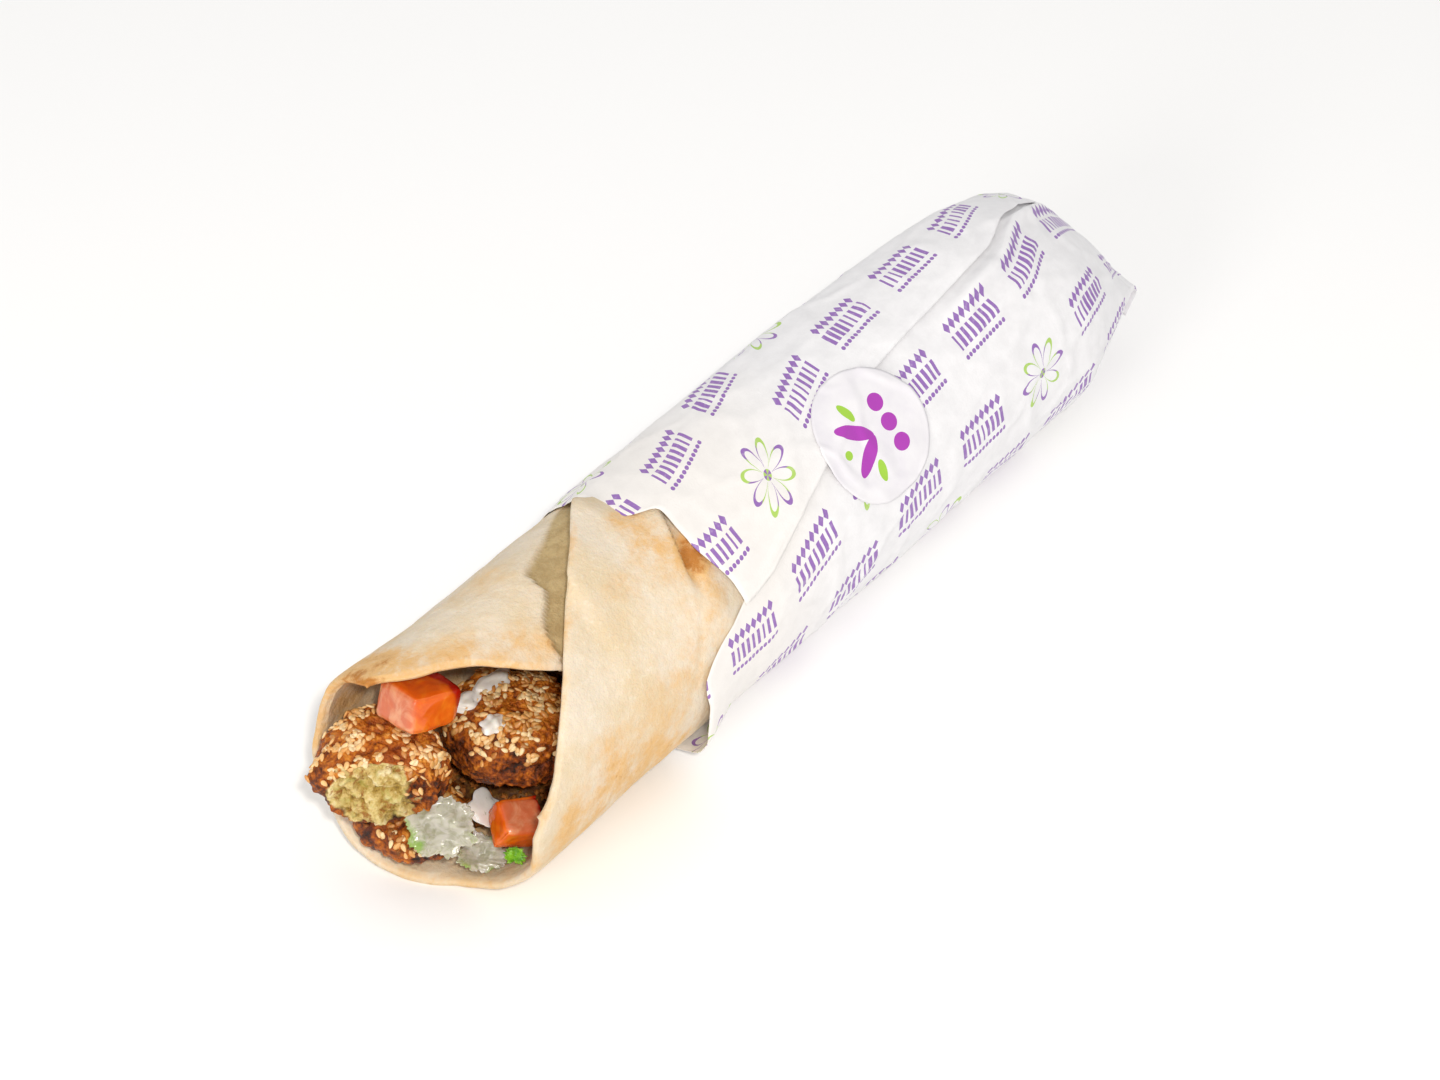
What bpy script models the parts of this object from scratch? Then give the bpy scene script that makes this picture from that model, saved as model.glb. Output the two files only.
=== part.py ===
"""A falafel wrap, rolled in flatbread and lying in its printed paper, at real size.

The roll lies along X on z = 0, its open mouth at -X and the paper's folded end at +X.
It is drawn in millimetres in a frame of its own: x is the setback behind the bread's front lip,
z points from the roll's axis to the notch in the mouth, and -y points to the flap's side.
Angles round the roll are in degrees, counted from the notch over the flap's side and underneath.
"""

import math
import random

import bmesh
import bpy
import numpy as np
from mathutils import Matrix, Vector, noise

MM = 0.001

# Driving dimensions of the roll
LENGTH = 247.0
AXIS_HEIGHT = 29.6
NOTCH_ANGLE = 32.7
BREAD_THICKNESS = 2.2
BREAD_GAP = 0.4
BREAD_END = 205.0
BREAD_ROWS = 18
BREAD_COLUMNS = 42

# Outer radius of the roll's inner turn against the setback
BREAD_RADIUS = ((0, 27.4), (14, 27.9), (60, 28.2), (LENGTH, 28.0))

# Outline of the bread: its front rim as angle and setback, its two sides as setback and angle
FRONT_RIM = (
    (46, 14.5), (57, 12), (90, 13), (127, 10), (156, 3.2), (180, 0.5),
    (205, 1.8), (225, 2.8), (240, 5.0), (255, 7.3), (268, 8.0), (284, 7.2), (300, 6.5),
)
FLAP_EDGE = (
    (14.5, 46), (20, 37), (24, 26), (31.5, 9), (37, -1), (45, -15), (58, -33), (76, -55),
    (105, -61), (LENGTH, -62),
)
INNER_EDGE = ((6.5, 300), (11, 312), (22, 329), (30, 347), (37, 359), (55, 378), (80, 390), (LENGTH, 395))

# The flap's edge stands off the turn below between these setbacks
FLAP_LIFT = 2.2
FLAP_LIFT_RANGE = (26.0, 44.0, 62.0, 75.0)
FLAP_LIFT_ANGLE = 48.0

# The bread's lip curls out a little on the side away from the flap
LIP_CURL = 1.3
LIP_ANGLE = 268.0

# The paper is one thin sheet, its seam on top and its far end pressed flat and folded down
PAPER_THICKNESS = 0.4
PAPER_GAP = 0.35
PAPER_TURN = 405.0
PAPER_ROWS = 16
PAPER_COLUMNS = 40
PAPER_SEAM = ((84, 29), (115, 11), (148, -11), (178, -17), (198, -21), (215, -33), (LENGTH, -38))
PAPER_FRONT = (
    (29, 84), (10, 82.6), (-5, 80.6), (-24, 82), (-33, 76), (-45, 75), (-61, 76), (-120, 76),
    (-180, 74), (-240, 70), (-272, 67.5), (-290, 67), (-312, 67.2), (-317, 69.3), (-322, 73.5),
    (-328, 80.5), (-335, 86), (-376, 88),
)
PAPER_FLARE = 3.5
BRIDGE_ANGLE = 34.0

# The far end
BASE_RADIUS = 28.0
PINCH_ANGLE = 70.0
PINCH_SETBACK = 242.0
PINCH_HALF_GAP = 0.4
PINCH_BACK_SHARE = 0.68
PINCH_FRONT_SHARE = 0.70
HEM_LENGTH = 13.0
HEM_BEND_RADIUS = 3.6
HEM_TURN = 100.0

STICKER_RADIUS = 16.0
STICKER_SETBACK = 138.0
STICKER_ANGLE = 9.0
STICKER_THICKNESS = 0.3

# The filling behind the pieces that show
CORE_RADIUS = 24.2
CORE_END = 222.0
CORE_FRONT_HIGH = 55.0
CORE_FRONT_LOW = 23.5
CORE_FRONT_LOW_BY_FLAP = 32.0

BREAD_COLOUR = (0.83, 0.68, 0.47)
PAPER_COLOUR = (0.90, 0.89, 0.88)
STICKER_COLOUR = (0.88, 0.82, 0.90)
CRUST_COLOUR = (0.23, 0.09, 0.03)
TOMATO_COLOUR = (0.80, 0.17, 0.05)
LETTUCE_COLOUR = (0.66, 0.70, 0.48)
HERB_COLOUR = (0.20, 0.42, 0.05)
CORE_COLOUR = (0.16, 0.08, 0.03)


def smoothstep(low, high, x):
    share = min(1.0, max(0.0, (x - low) / (high - low)))
    return share * share * (3 - 2 * share)


def lerp(low, high, share):
    return low + (high - low) * share


def curve_through(points):
    """A smooth function through these (x, y) points, level beyond the first and the last."""
    ordered = sorted(points)
    xs = np.array([p[0] for p in ordered], float)
    ys = np.array([p[1] for p in ordered], float)
    steps = np.diff(ys) / np.diff(xs)
    slopes = np.zeros(len(xs))
    for i in range(1, len(xs) - 1):
        if steps[i - 1] * steps[i] > 0:
            slopes[i] = 2 * steps[i - 1] * steps[i] / (steps[i - 1] + steps[i])

    def value(x):
        if x <= xs[0]:
            return float(ys[0])
        if x >= xs[-1]:
            return float(ys[-1])
        i = int(np.searchsorted(xs, x)) - 1
        span = xs[i + 1] - xs[i]
        t = (x - xs[i]) / span
        start = ys[i] * (2 * t**3 - 3 * t**2 + 1) + slopes[i] * span * (t**3 - 2 * t**2 + t)
        end = ys[i + 1] * (3 * t**2 - 2 * t**3) + slopes[i + 1] * span * (t**3 - t**2)
        return float(start + end)

    return value


bread_radius = curve_through(BREAD_RADIUS)
front_rim = curve_through(FRONT_RIM)
flap_edge = curve_through(FLAP_EDGE)
inner_edge = curve_through(INNER_EDGE)
paper_seam = curve_through(PAPER_SEAM)
paper_front = curve_through(PAPER_FRONT)


def radial(angle):
    turn = math.radians(angle)
    return Vector((0, -math.sin(turn), math.cos(turn)))


def end_shares(setback):
    """How much of the roll's width and height is left at this setback: back, front and height."""
    back = max(0.0, (setback - 150) / (PINCH_SETBACK - 150)) ** 1.6
    front = max(0.0, (setback - 212) / (PINCH_SETBACK - 212)) ** 1.2
    nose = max(0.0, (setback - 190) / (PINCH_SETBACK - 190))
    height = max(0.0, 1 - nose**2.2) ** 0.6
    return lerp(1, PINCH_BACK_SHARE, back), lerp(1, PINCH_FRONT_SHARE, front), height


def place(setback, angle, radius, hem=0.0):
    """The point at this radius, with the far end pressed flat along the line of the pinch.

    Beyond the pinch the sheet runs on as a hem, which bends down round its bend radius."""
    back, front, height = end_shares(setback)
    offset = radius - BASE_RADIUS
    turn = math.radians(angle - PINCH_ANGLE)
    width = BASE_RADIUS * (front if math.cos(turn) > 0 else back) + offset
    half = max(BASE_RADIUS * height, PINCH_HALF_GAP) + offset
    along = width * math.cos(turn)
    across = half * math.sin(turn)
    bend = math.radians(min(HEM_TURN, math.degrees(hem / HEM_BEND_RADIUS)))
    straight = hem - bend * HEM_BEND_RADIUS
    forward = HEM_BEND_RADIUS * math.sin(bend) + straight * math.cos(bend)
    down = HEM_BEND_RADIUS * (1 - math.cos(bend)) + straight * math.sin(bend)
    middle = Vector((setback + forward, 0, 0)) + radial(PINCH_ANGLE + 90) * down
    outward = Vector((math.sin(bend), 0, 0)) - radial(PINCH_ANGLE + 90) * math.cos(bend)
    return middle + radial(PINCH_ANGLE) * along - outward * across


def raised(point, floor):
    """The point lifted, if need be, to this height over the ground."""
    tilt = math.radians(NOTCH_ANGLE)
    up = Vector((0, math.sin(tilt), math.cos(tilt)))
    height = AXIS_HEIGHT + point.dot(up)
    if height < floor:
        point = point + up * (floor - height)
    return point


def bread_surface(setback, angle):
    """Outer radius of the rolled bread, where the angle runs on past one turn from the flap's edge."""
    turn = angle - flap_edge(setback)
    radius = bread_radius(setback) + (BREAD_THICKNESS + BREAD_GAP) * (1 - turn / 360)
    rise, full, fall, flat = FLAP_LIFT_RANGE
    lifted = smoothstep(rise, full, setback) * (1 - smoothstep(fall, flat, setback))
    lifted *= max(0.0, 1 - turn / FLAP_LIFT_ANGLE) ** 2
    swell = noise.noise(Vector((setback / 26, 0, 0)) + radial(angle) * 1.3)
    swell *= 0.5 * (1 - smoothstep(50, 66, setback))
    curl = math.exp(-(((angle - LIP_ANGLE) / 28) ** 2)) * (1 - smoothstep(3, 24, setback))
    return radius + FLAP_LIFT * lifted + swell + LIP_CURL * curl


def wrapped_surface(setback, angle):
    """Radius that the paper lies on: the bread, with the step at the flap's edge bridged."""
    turn = (angle - flap_edge(setback)) % 360
    step = (BREAD_THICKNESS + BREAD_GAP) * (1 - smoothstep(BREAD_END + 1, PINCH_SETBACK, setback))
    bridge = smoothstep(360 - BRIDGE_ANGLE, 360, turn)
    return bread_radius(setback) + step * (1 - turn / 360 + bridge)


def paper_surface(setback, angle, turn):
    """Outer radius of the paper, where the turn is counted back from its seam."""
    layer = (PAPER_THICKNESS + PAPER_GAP) * (1 - turn / 360)
    return wrapped_surface(setback, angle) + PAPER_GAP + 0.1 + layer + PAPER_THICKNESS


def new_object(name, mesh, colour, roughness=0.6):
    material = bpy.data.materials.new(name)
    material.use_nodes = True
    shader = material.node_tree.nodes["Principled BSDF"]
    shader.inputs["Base Color"].default_value = (*colour, 1)
    shader.inputs["Roughness"].default_value = roughness
    mesh.materials.append(material)
    obj = bpy.data.objects.new(name, mesh)
    bpy.data.collections["falafel_wrap"].objects.link(obj)
    return obj


def lay_down(obj):
    """Turn and move an object from the roll's own frame to where the wrap lies."""
    obj.rotation_euler = (math.radians(NOTCH_ANGLE), 0, 0)
    obj.location = (-LENGTH / 2 * MM, 0, AXIS_HEIGHT * MM)
    return obj


def set_down(obj, setback, near, side, turns):
    """Place a piece by its setback, its distance to the notch's side and to the flap's side."""
    tilt = Matrix.Rotation(math.radians(NOTCH_ANGLE), 3, "X")
    obj.location = (tilt @ Vector((setback - LENGTH / 2, -side, near)) + Vector((0, 0, AXIS_HEIGHT))) * MM
    obj.rotation_euler = [math.radians(turn) for turn in turns]
    return obj


def scaled_mesh(name, body):
    bmesh.ops.scale(body, vec=(MM, MM, MM), verts=body.verts)
    bmesh.ops.recalc_face_normals(body, faces=body.faces)
    bmesh.ops.triangulate(body, faces=body.faces)
    mesh = bpy.data.meshes.new(name)
    body.to_mesh(mesh)
    body.free()
    return mesh


def sheet(name, columns, rows, shape, thickness, colour, roughness=0.6):
    """A thin solid from a grid, whose shape function gives the point for two shares from 0 to 1.

    The grid is the outer face, and the thickness goes inwards from it."""
    body = bmesh.new()
    bmesh.ops.create_grid(body, x_segments=columns, y_segments=rows, size=0.5)
    for vert in body.verts:
        vert.co = shape(vert.co.x + 0.5, vert.co.y + 0.5)
    bmesh.ops.scale(body, vec=(MM, MM, MM), verts=body.verts)
    bmesh.ops.triangulate(body, faces=body.faces)
    mesh = bpy.data.meshes.new(name)
    body.to_mesh(mesh)
    body.free()
    obj = new_object(name, mesh, colour, roughness)
    shell = obj.modifiers.new("thickness", "SOLIDIFY")
    shell.thickness = thickness * MM
    shell.offset = -1
    return obj


def make_bread():
    """The flatbread, rolled a turn and a third, its flap over its other side."""

    def shape(share_round, share_back):
        start = front_rim(lerp(FRONT_RIM[0][0], FRONT_RIM[-1][0], share_round))
        setback = lerp(start, BREAD_END, share_back**1.35)
        angle = lerp(flap_edge(setback), inner_edge(setback), share_round)
        point = place(setback, angle, bread_surface(setback, angle))
        return raised(point, lerp(0, PAPER_THICKNESS + PAPER_GAP, smoothstep(44, 62, setback)))

    return lay_down(sheet("bread", BREAD_COLUMNS, BREAD_ROWS, shape, BREAD_THICKNESS, BREAD_COLOUR))


def make_paper():
    """The wrapping paper, closed and folded down at its far end."""
    hem_share = 0.14

    def shape(share_round, share_back):
        turn = PAPER_TURN * (1 - share_round)
        start = paper_front(29 - turn)
        share = min(1.0, share_back / (1 - hem_share))
        setback = lerp(start, PINCH_SETBACK, 1 - (1 - share) ** 1.5)
        hem = HEM_LENGTH * max(0.0, share_back - (1 - hem_share)) / hem_share
        angle = paper_seam(setback) - turn
        radius = paper_surface(setback, angle, turn)
        round_place = (angle % 360 - 88) / 24
        radius += PAPER_FLARE * math.exp(-(round_place**2)) * (1 - smoothstep(start, start + 14, setback))
        return raised(place(setback, angle, radius, hem), 0)

    return lay_down(sheet("paper", PAPER_COLUMNS, PAPER_ROWS, shape, PAPER_THICKNESS, PAPER_COLOUR, 0.45))


def make_sticker():
    """The round sticker that holds the paper's seam down."""

    def shape(share_round, share_along):
        x = share_along * 2 - 1
        y = share_round * 2 - 1
        reach = max(abs(x), abs(y))
        length = math.hypot(x, y) or 1
        x, y = x * reach / length, y * reach / length
        setback = STICKER_SETBACK + STICKER_RADIUS * x
        angle = STICKER_ANGLE + math.degrees(STICKER_RADIUS * y / (BASE_RADIUS + 3))
        past_seam = angle - paper_seam(setback)
        on_top = 1 - smoothstep(0, 14, past_seam)
        radius = paper_surface(setback, angle, (-past_seam) % 360)
        if past_seam > 0:
            radius += (PAPER_THICKNESS + PAPER_GAP) * on_top
        return place(setback, angle, radius + 0.25 + STICKER_THICKNESS)

    return lay_down(sheet("sticker", 8, 8, shape, STICKER_THICKNESS, STICKER_COLOUR, 0.4))


def make_core():
    """The filling that runs on behind the pieces in the mouth, to the closed end."""
    body = bmesh.new()
    bmesh.ops.create_uvsphere(body, u_segments=24, v_segments=18, radius=1)
    tilt = math.radians(NOTCH_ANGLE)
    for vert in body.verts:
        share = math.acos(max(-1.0, min(1.0, vert.co.z))) / math.pi
        angle = math.degrees(math.atan2(-vert.co.y, vert.co.x))
        reach = min(1.0, share / 0.28)
        flat = radial(angle) * CORE_RADIUS * reach
        height = flat.y * math.sin(tilt) + flat.z * math.cos(tilt)
        across = flat.y * math.cos(tilt) - flat.z * math.sin(tilt)
        low_front = lerp(CORE_FRONT_LOW_BY_FLAP, CORE_FRONT_LOW, smoothstep(-7, -1, across))
        front = lerp(low_front, CORE_FRONT_HIGH, smoothstep(-21, -16.5, height)) + noise.noise(flat / 5)
        back = max(0.0, (share - 0.28) / 0.72)
        setback = lerp(front, CORE_END, back)
        tail = 1 - 0.06 * smoothstep(0.5, 0.85, back) - 0.94 * smoothstep(0.88, 1.0, back)
        radius = CORE_RADIUS * reach * tail
        vert.co = place(setback, angle, radius) if back > 0 else Vector((setback, 0, 0)) + flat
    core = new_object("filling", scaled_mesh("filling", body), CORE_COLOUR, 0.8)
    return lay_down(core)


def patty_radius(direction, radius, half_height, seed, crag):
    """How far the crust of a flattened, craggy ball lies from its middle in this direction."""
    flat = math.hypot(direction.x, direction.y)
    squareness = 2.7
    wide = (flat / radius) ** squareness
    tall = (abs(direction.z) / half_height) ** squareness
    shape = (wide + tall) ** (-1 / squareness)
    shift = Vector((seed * 3.7, seed * 1.9, seed * 5.3))
    coarse = noise.noise(direction * 2.1 + shift)
    fine = noise.noise(direction * 5.5 + shift)
    return shape + crag * (coarse + 0.6 * fine)


def make_patty(name, radius, half_height, seed, crag, seeds, divisions=4, broken=None, extras=()):
    """A fried falafel with sesame seeds and other extras, such as thick drops of sauce, fused to it.

    Broken gives the direction, distance and tilt of the face where it is broken open."""
    body = bmesh.new()
    bmesh.ops.create_icosphere(body, subdivisions=divisions, radius=1)
    for vert in body.verts:
        direction = vert.co.normalized()
        vert.co = direction * patty_radius(direction, radius, half_height, seed, crag)
        if broken:
            facing, distance = broken
            beyond = vert.co.dot(facing) - distance
            if beyond > 0:
                hollow = 1.1 * noise.noise(vert.co / 4 + Vector((seed, 0, 0)))
                vert.co -= facing * (beyond * 0.93 - hollow * min(1.0, beyond / 2))
    patty = new_object(name, scaled_mesh(name, body), CRUST_COLOUR, 0.7)
    loose = bpy.data.collections.new(name + "_toppings")
    rng = random.Random(seed)
    made = 0
    while made < seeds:
        spin = rng.uniform(0, 2 * math.pi)
        lean = math.radians(78) * math.sqrt(rng.random())
        direction = Vector((math.cos(spin) * math.sin(lean), math.sin(spin) * math.sin(lean), math.cos(lean)))
        point = direction * patty_radius(direction, radius, half_height, seed, crag)
        if broken and point.dot(broken[0]) > broken[1] - 1.5:
            continue
        if any((point - drop[0]).length < drop[1] + 1 for drop in extras):
            continue
        grain = bmesh.new()
        bmesh.ops.create_uvsphere(grain, u_segments=5, v_segments=3, radius=1)
        bmesh.ops.scale(grain, vec=(1.05, 0.7, 1.75), verts=grain.verts)
        upright = Vector((direction.x * 0.6, direction.y * 0.6, direction.z + 0.3)).normalized()
        flat_side = upright.cross(Vector((math.cos(made), math.sin(made * 2.0), 0.2))).normalized()
        turn = Matrix((flat_side.cross(upright), upright, flat_side)).transposed()
        bmesh.ops.transform(grain, matrix=turn.to_4x4(), verts=grain.verts)
        bmesh.ops.translate(grain, vec=point + upright * 0.12, verts=grain.verts)
        add_topping(loose, grain, name)
        made += 1
    for middle, size, height_share in extras:
        drop = bmesh.new()
        bmesh.ops.create_icosphere(drop, subdivisions=2, radius=1)
        for vert in drop.verts:
            vert.co *= 1 + 0.25 * noise.noise(vert.co * 1.5 + middle)
        bmesh.ops.scale(drop, vec=(size, size * 0.75, size * height_share), verts=drop.verts)
        bmesh.ops.translate(drop, vec=middle, verts=drop.verts)
        add_topping(loose, drop, name)
    join_toppings(patty, loose)
    return patty


def add_topping(loose, body, name):
    mesh = scaled_mesh(name + "_topping", body)
    loose.objects.link(bpy.data.objects.new(name + "_topping", mesh))


def join_toppings(patty, loose):
    """Fuse every topping to the patty, then clear the toppings away."""
    bpy.context.scene.collection.children.link(loose)
    union = patty.modifiers.new("toppings", "BOOLEAN")
    union.operation = "UNION"
    union.operand_type = "COLLECTION"
    union.collection = loose
    union.solver = "MANIFOLD"
    bpy.context.view_layer.update()
    joined = bpy.data.meshes.new_from_object(patty.evaluated_get(bpy.context.evaluated_depsgraph_get()))
    patty.modifiers.remove(union)
    patty.data = joined
    for item in list(loose.objects):
        bpy.data.objects.remove(item)
    bpy.data.collections.remove(loose)


def make_tomato(name, size, seed):
    """A chopped piece of tomato: a rounded block with uneven sides."""
    body = bmesh.new()
    bmesh.ops.create_cube(body, size=1)
    rng = random.Random(seed)
    for vert in body.verts:
        vert.co = Vector([c * s * rng.uniform(0.8, 1.0) for c, s in zip(vert.co, size)])
    bmesh.ops.bevel(body, geom=body.edges[:], offset=1.1, segments=2, profile=0.6, affect="EDGES")
    return new_object(name, scaled_mesh(name, body), TOMATO_COLOUR, 0.25)


def make_leaf(name, length, width, thickness, seed, wave, colour, cells=7):
    """A torn, wavy piece of leaf."""
    shift = Vector((seed * 2.3, seed * 7.1, 0))

    def shape(share_long, share_wide):
        x = share_long * 2 - 1
        y = share_wide * 2 - 1
        reach = max(abs(x), abs(y))
        distance = math.hypot(x, y) or 1
        x, y = x * reach / distance, y * reach / distance
        turn = Vector((x, y, 0)).normalized() if reach > 0 else Vector((1, 0, 0))
        ragged = 1 + 0.28 * noise.noise(turn * 1.6 + shift) * reach
        height = wave * noise.noise(Vector((x * 1.5, y * 1.5, 0)) + shift) + wave * 0.5 * x * x
        return Vector((x * length / 2 * ragged, y * width / 2 * ragged, height))

    return sheet(name, cells, cells, shape, thickness, colour, 0.4)


def main():
    for item in list(bpy.data.objects):
        bpy.data.objects.remove(item)
    wrap = bpy.data.collections.new("falafel_wrap")
    bpy.context.scene.collection.children.link(wrap)
    make_bread()
    make_paper()
    make_sticker()
    make_core()

    right = make_patty(
        "falafel_right", radius=15.4, half_height=9.0, seed=3, crag=1.0, seeds=18,
        extras=((Vector((-8, 7, 8.0)), 5.5, 0.4), (Vector((-9, -4, 7.8)), 3.6, 0.4)),
    )
    set_down(right, setback=36.7, near=-4.0, side=2.9, turns=(-2, 9, 0))

    left = make_patty(
        "falafel_left", radius=14.4, half_height=8.2, seed=8, crag=0.9, seeds=20,
        broken=(Vector((-0.72, -0.60, 0.35)), 7.0), extras=((Vector((-11.5, 9.0, 0.8)), 3.6, 0.8),),
    )
    set_down(left, setback=7.0, near=-5.5, side=-8.8, turns=(6, -8, 0))

    low = make_patty(
        "falafel_low", radius=11.4, half_height=5.4, seed=5, crag=0.7, seeds=6, divisions=3,
        extras=((Vector((-5.4, 6.5, 0.0)), 6.3, 0.65),),
    )
    set_down(low, setback=11.7, near=-17.2, side=4.0, turns=(8, -6, 0))

    top = make_tomato("tomato_top", (13.6, 14.0, 9.4), seed=4)
    set_down(top, setback=15.8, near=10.0, side=-14.4, turns=(-12, 18, -12))
    small = make_tomato("tomato_side", (12.0, 10.0, 9.0), seed=7)
    set_down(small, setback=22.8, near=-4.6, side=19.2, turns=(20, 18, -28))

    heart = make_leaf("lettuce_heart", 14.2, 12.6, 1.3, seed=2, wave=2.2, colour=LETTUCE_COLOUR)
    set_down(heart, setback=6.9, near=-1.3, side=10.9, turns=(52, 6, -50))
    shred = make_leaf("lettuce_shred", 10.2, 8.6, 1.0, seed=6, wave=1.8, colour=LETTUCE_COLOUR)
    set_down(shred, setback=15.4, near=-11.9, side=19.6, turns=(36, 14, -50))
    herb = make_leaf("herb_leaf", 4.6, 3.6, 0.7, seed=9, wave=1.2, colour=HERB_COLOUR, cells=5)
    set_down(herb, setback=18.2, near=-6.2, side=24.6, turns=(60, 0, -50))


main()
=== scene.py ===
import math
import random
from functools import partialmethod

import bmesh
import bpy
import numpy as np
from mathutils import Matrix, Vector, noise


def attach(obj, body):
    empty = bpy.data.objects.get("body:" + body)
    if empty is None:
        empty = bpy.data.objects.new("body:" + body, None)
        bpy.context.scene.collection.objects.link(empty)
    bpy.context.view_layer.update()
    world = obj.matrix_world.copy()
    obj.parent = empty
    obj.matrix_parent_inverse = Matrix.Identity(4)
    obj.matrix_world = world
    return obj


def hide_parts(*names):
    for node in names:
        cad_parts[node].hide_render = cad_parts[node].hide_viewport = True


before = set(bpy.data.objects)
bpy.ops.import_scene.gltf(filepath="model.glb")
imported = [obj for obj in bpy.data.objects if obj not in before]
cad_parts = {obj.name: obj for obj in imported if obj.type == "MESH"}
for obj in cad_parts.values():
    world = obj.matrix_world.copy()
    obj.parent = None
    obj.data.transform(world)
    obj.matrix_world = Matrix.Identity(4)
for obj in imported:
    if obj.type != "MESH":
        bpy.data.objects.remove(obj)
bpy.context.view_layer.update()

# A falafel wrap lying on a table: flatbread rolled round falafel, tomato and lettuce, held in
# printed paper by a round sticker. Lengths are in millimetres and angles in degrees until a mesh
# is finished. The roll has a frame of its own: x is the setback behind the bread's front lip,
# z points from the roll's axis to the notch in its mouth, and -y points to the flap's side.
# Edges are (setback, angle) pairs, and the two front rims (angle, setback) pairs.

MM = 0.001

LENGTH = 247.0
AXIS_HEIGHT = 29.6
NOTCH_ANGLE = 32.7

# The rolled flatbread
BREAD_THICKNESS = 2.2
BREAD_GAP = 0.4
BREAD_END = 205.0
BREAD_RADIUS = ((0, 27.4), (14, 27.9), (60, 28.2), (LENGTH, 28.0))
FRONT_RIM = (
    (46, 14.5), (57, 12), (90, 13), (127, 10), (156, 3.2), (180, 0.5),
    (205, 1.8), (225, 2.8), (240, 5.0), (255, 7.3), (268, 8.0), (284, 7.2), (300, 6.5),
)
FLAP_EDGE = (
    (14.5, 46), (20, 37), (24, 26), (31.5, 9), (37, -1), (45, -15), (58, -33), (76, -55),
    (105, -61), (LENGTH, -62),
)
INNER_EDGE = (
    (6.5, 300), (11, 312), (22, 329), (30, 347), (37, 359), (55, 378), (80, 390), (LENGTH, 395),
)
# Where the bread steps down beside the flap: the step is modelled, and the flap's shadow on it is
# painted into the bread's colour.
STEP_AND_PAINTED_SHADOW_EDGE = (
    (38.5, 2), (40.6, -12), (42.2, -19.5), (47.5, -28.5), (50.2, -34), (50.8, -46), (55.6, -52),
    (61, -57.3), (71, -70), (80, -79),
)
TORN_DEPTH = 1.2
FLAP_LIFT = 4.2
FLAP_LIFT_ANGLE = 44.0
LIP_CURL = 1.3
LIP_ANGLE = 268.0

# The wrapping paper
PAPER_THICKNESS = 0.14
PAPER_SOLID_THICKNESS = 0.4
PAPER_GAP = 0.35
PAPER_TURN = 405.0
PAPER_SEAM = ((84, 29), (115, 11), (148, -11), (178, -17), (198, -21), (215, -33), (LENGTH, -38))
PAPER_FRONT = (
    (29, 84), (10, 82.6), (-5, 80.6), (-24, 82), (-33, 76), (-45, 75), (-61, 76), (-120, 76),
    (-180, 74), (-240, 70), (-272, 67.5), (-290, 67), (-312, 67.2), (-317, 69.3), (-322, 73.5),
    (-328, 80.5), (-335, 86), (-376, 88),
)
PAPER_FLARE = 3.5
PAPER_FLARE_ANGLE = 88.0
PAPER_FLARE_WIDTH = 24.0
HEM_SHARE = 0.10
BRIDGE_ANGLE = 20.0

# The far end, pressed flat and folded down
BASE_RADIUS = 28.0
PINCH_ANGLE = 70.0
PINCH_SETBACK = 242.0
PINCH_HALF_GAP = 0.4
PINCH_BACK_SHARE = 0.68
PINCH_FRONT_SHARE = 0.70
HEM_LENGTH = 13.0
HEM_BEND_RADIUS = 3.6
HEM_TURN = 100.0
NARROWING_BACK = 150.0
NARROWING_FRONT = 212.0
NOSE_START = 190.0

# The round sticker
STICKER_RADIUS = 16.0
STICKER_SETBACK = 138.0
STICKER_ANGLE = 9.0
STICKER_THICKNESS = 0.12
STICKER_LIFT = 0.42
STICKER_CELLS = 48

# The print: lines of a block by middle, half height, half length, pitch and shape, and the ovals
# on the sticker by place along and across, half sizes, turn and ink
PRINT_ROW_PITCH = 21.5
PRINT_STEP_PITCH = 24.0
PRINTED_LINES = (
    (-5.0, 1.5, 8.0, 2.0, "lozenge"), (-0.6, 2.1, 8.1, 1.8, "bar"), (3.4, 0.65, 8.0, 1.35, "dot"),
)
LABEL_VIOLET = "#A93BAE"
LABEL_GREEN = "#9CC843"
LABEL_OVALS = (
    (5.4, -5.4, 2.3, 2.1, 0, LABEL_VIOLET), (5.4, 0.0, 2.3, 2.1, 0, LABEL_VIOLET),
    (5.4, 5.4, 2.3, 2.1, 0, LABEL_VIOLET), (-4.6, -3.0, 5.4, 1.7, 35, LABEL_VIOLET),
    (-4.6, 3.2, 5.4, 1.7, -35, LABEL_VIOLET), (-3.2, -7.6, 2.6, 1.1, 80, LABEL_GREEN),
    (-3.2, 7.8, 2.6, 1.1, 100, LABEL_GREEN), (-9.4, 0.1, 1.1, 1.1, 0, LABEL_GREEN),
)

# The filling behind the mouth
CORE_RADIUS = 24.2
CORE_END = 222.0
CORE_FRONT_HIGH = 55.0
CORE_FRONT_LOW = 23.5
CORE_FRONT_LOW_BY_FLAP = 32.0
CORE_FRONT_SHARE = 0.28

# Radii on which lengths round the roll are measured
BREAD_FACE_RADIUS = 29.0
PAPER_FOLD_RADIUS = 30.0
PAPER_FACE_RADIUS = 31.0

# Light and camera, in degrees, metres and pixels of the photograph
KEY_DIRECTION = Vector((-0.46, -0.48, 0.75))
FILL_DIRECTION = Vector((-0.88, -0.16, 0.45))
LIGHT_TARGET = Vector((-0.03, 0, 0.03))
LIGHT_DISTANCE = 1.1
ROOM_BRIGHTNESS = 0.72
FLOOR_SIZE = 3.0
CAMERA_AZIMUTH = -50.0
CAMERA_ELEVATION = 45.0
CAMERA_DISTANCE = 0.9
CAMERA_TARGET_X = -0.0159
FOCAL_PIXELS = 3924.0
PHOTO_WIDTH = 1440
PHOTO_CENTRE_SHIFT = (2.1, -2.5)
SENSOR_WIDTH = 36.0


# Small helpers

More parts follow.
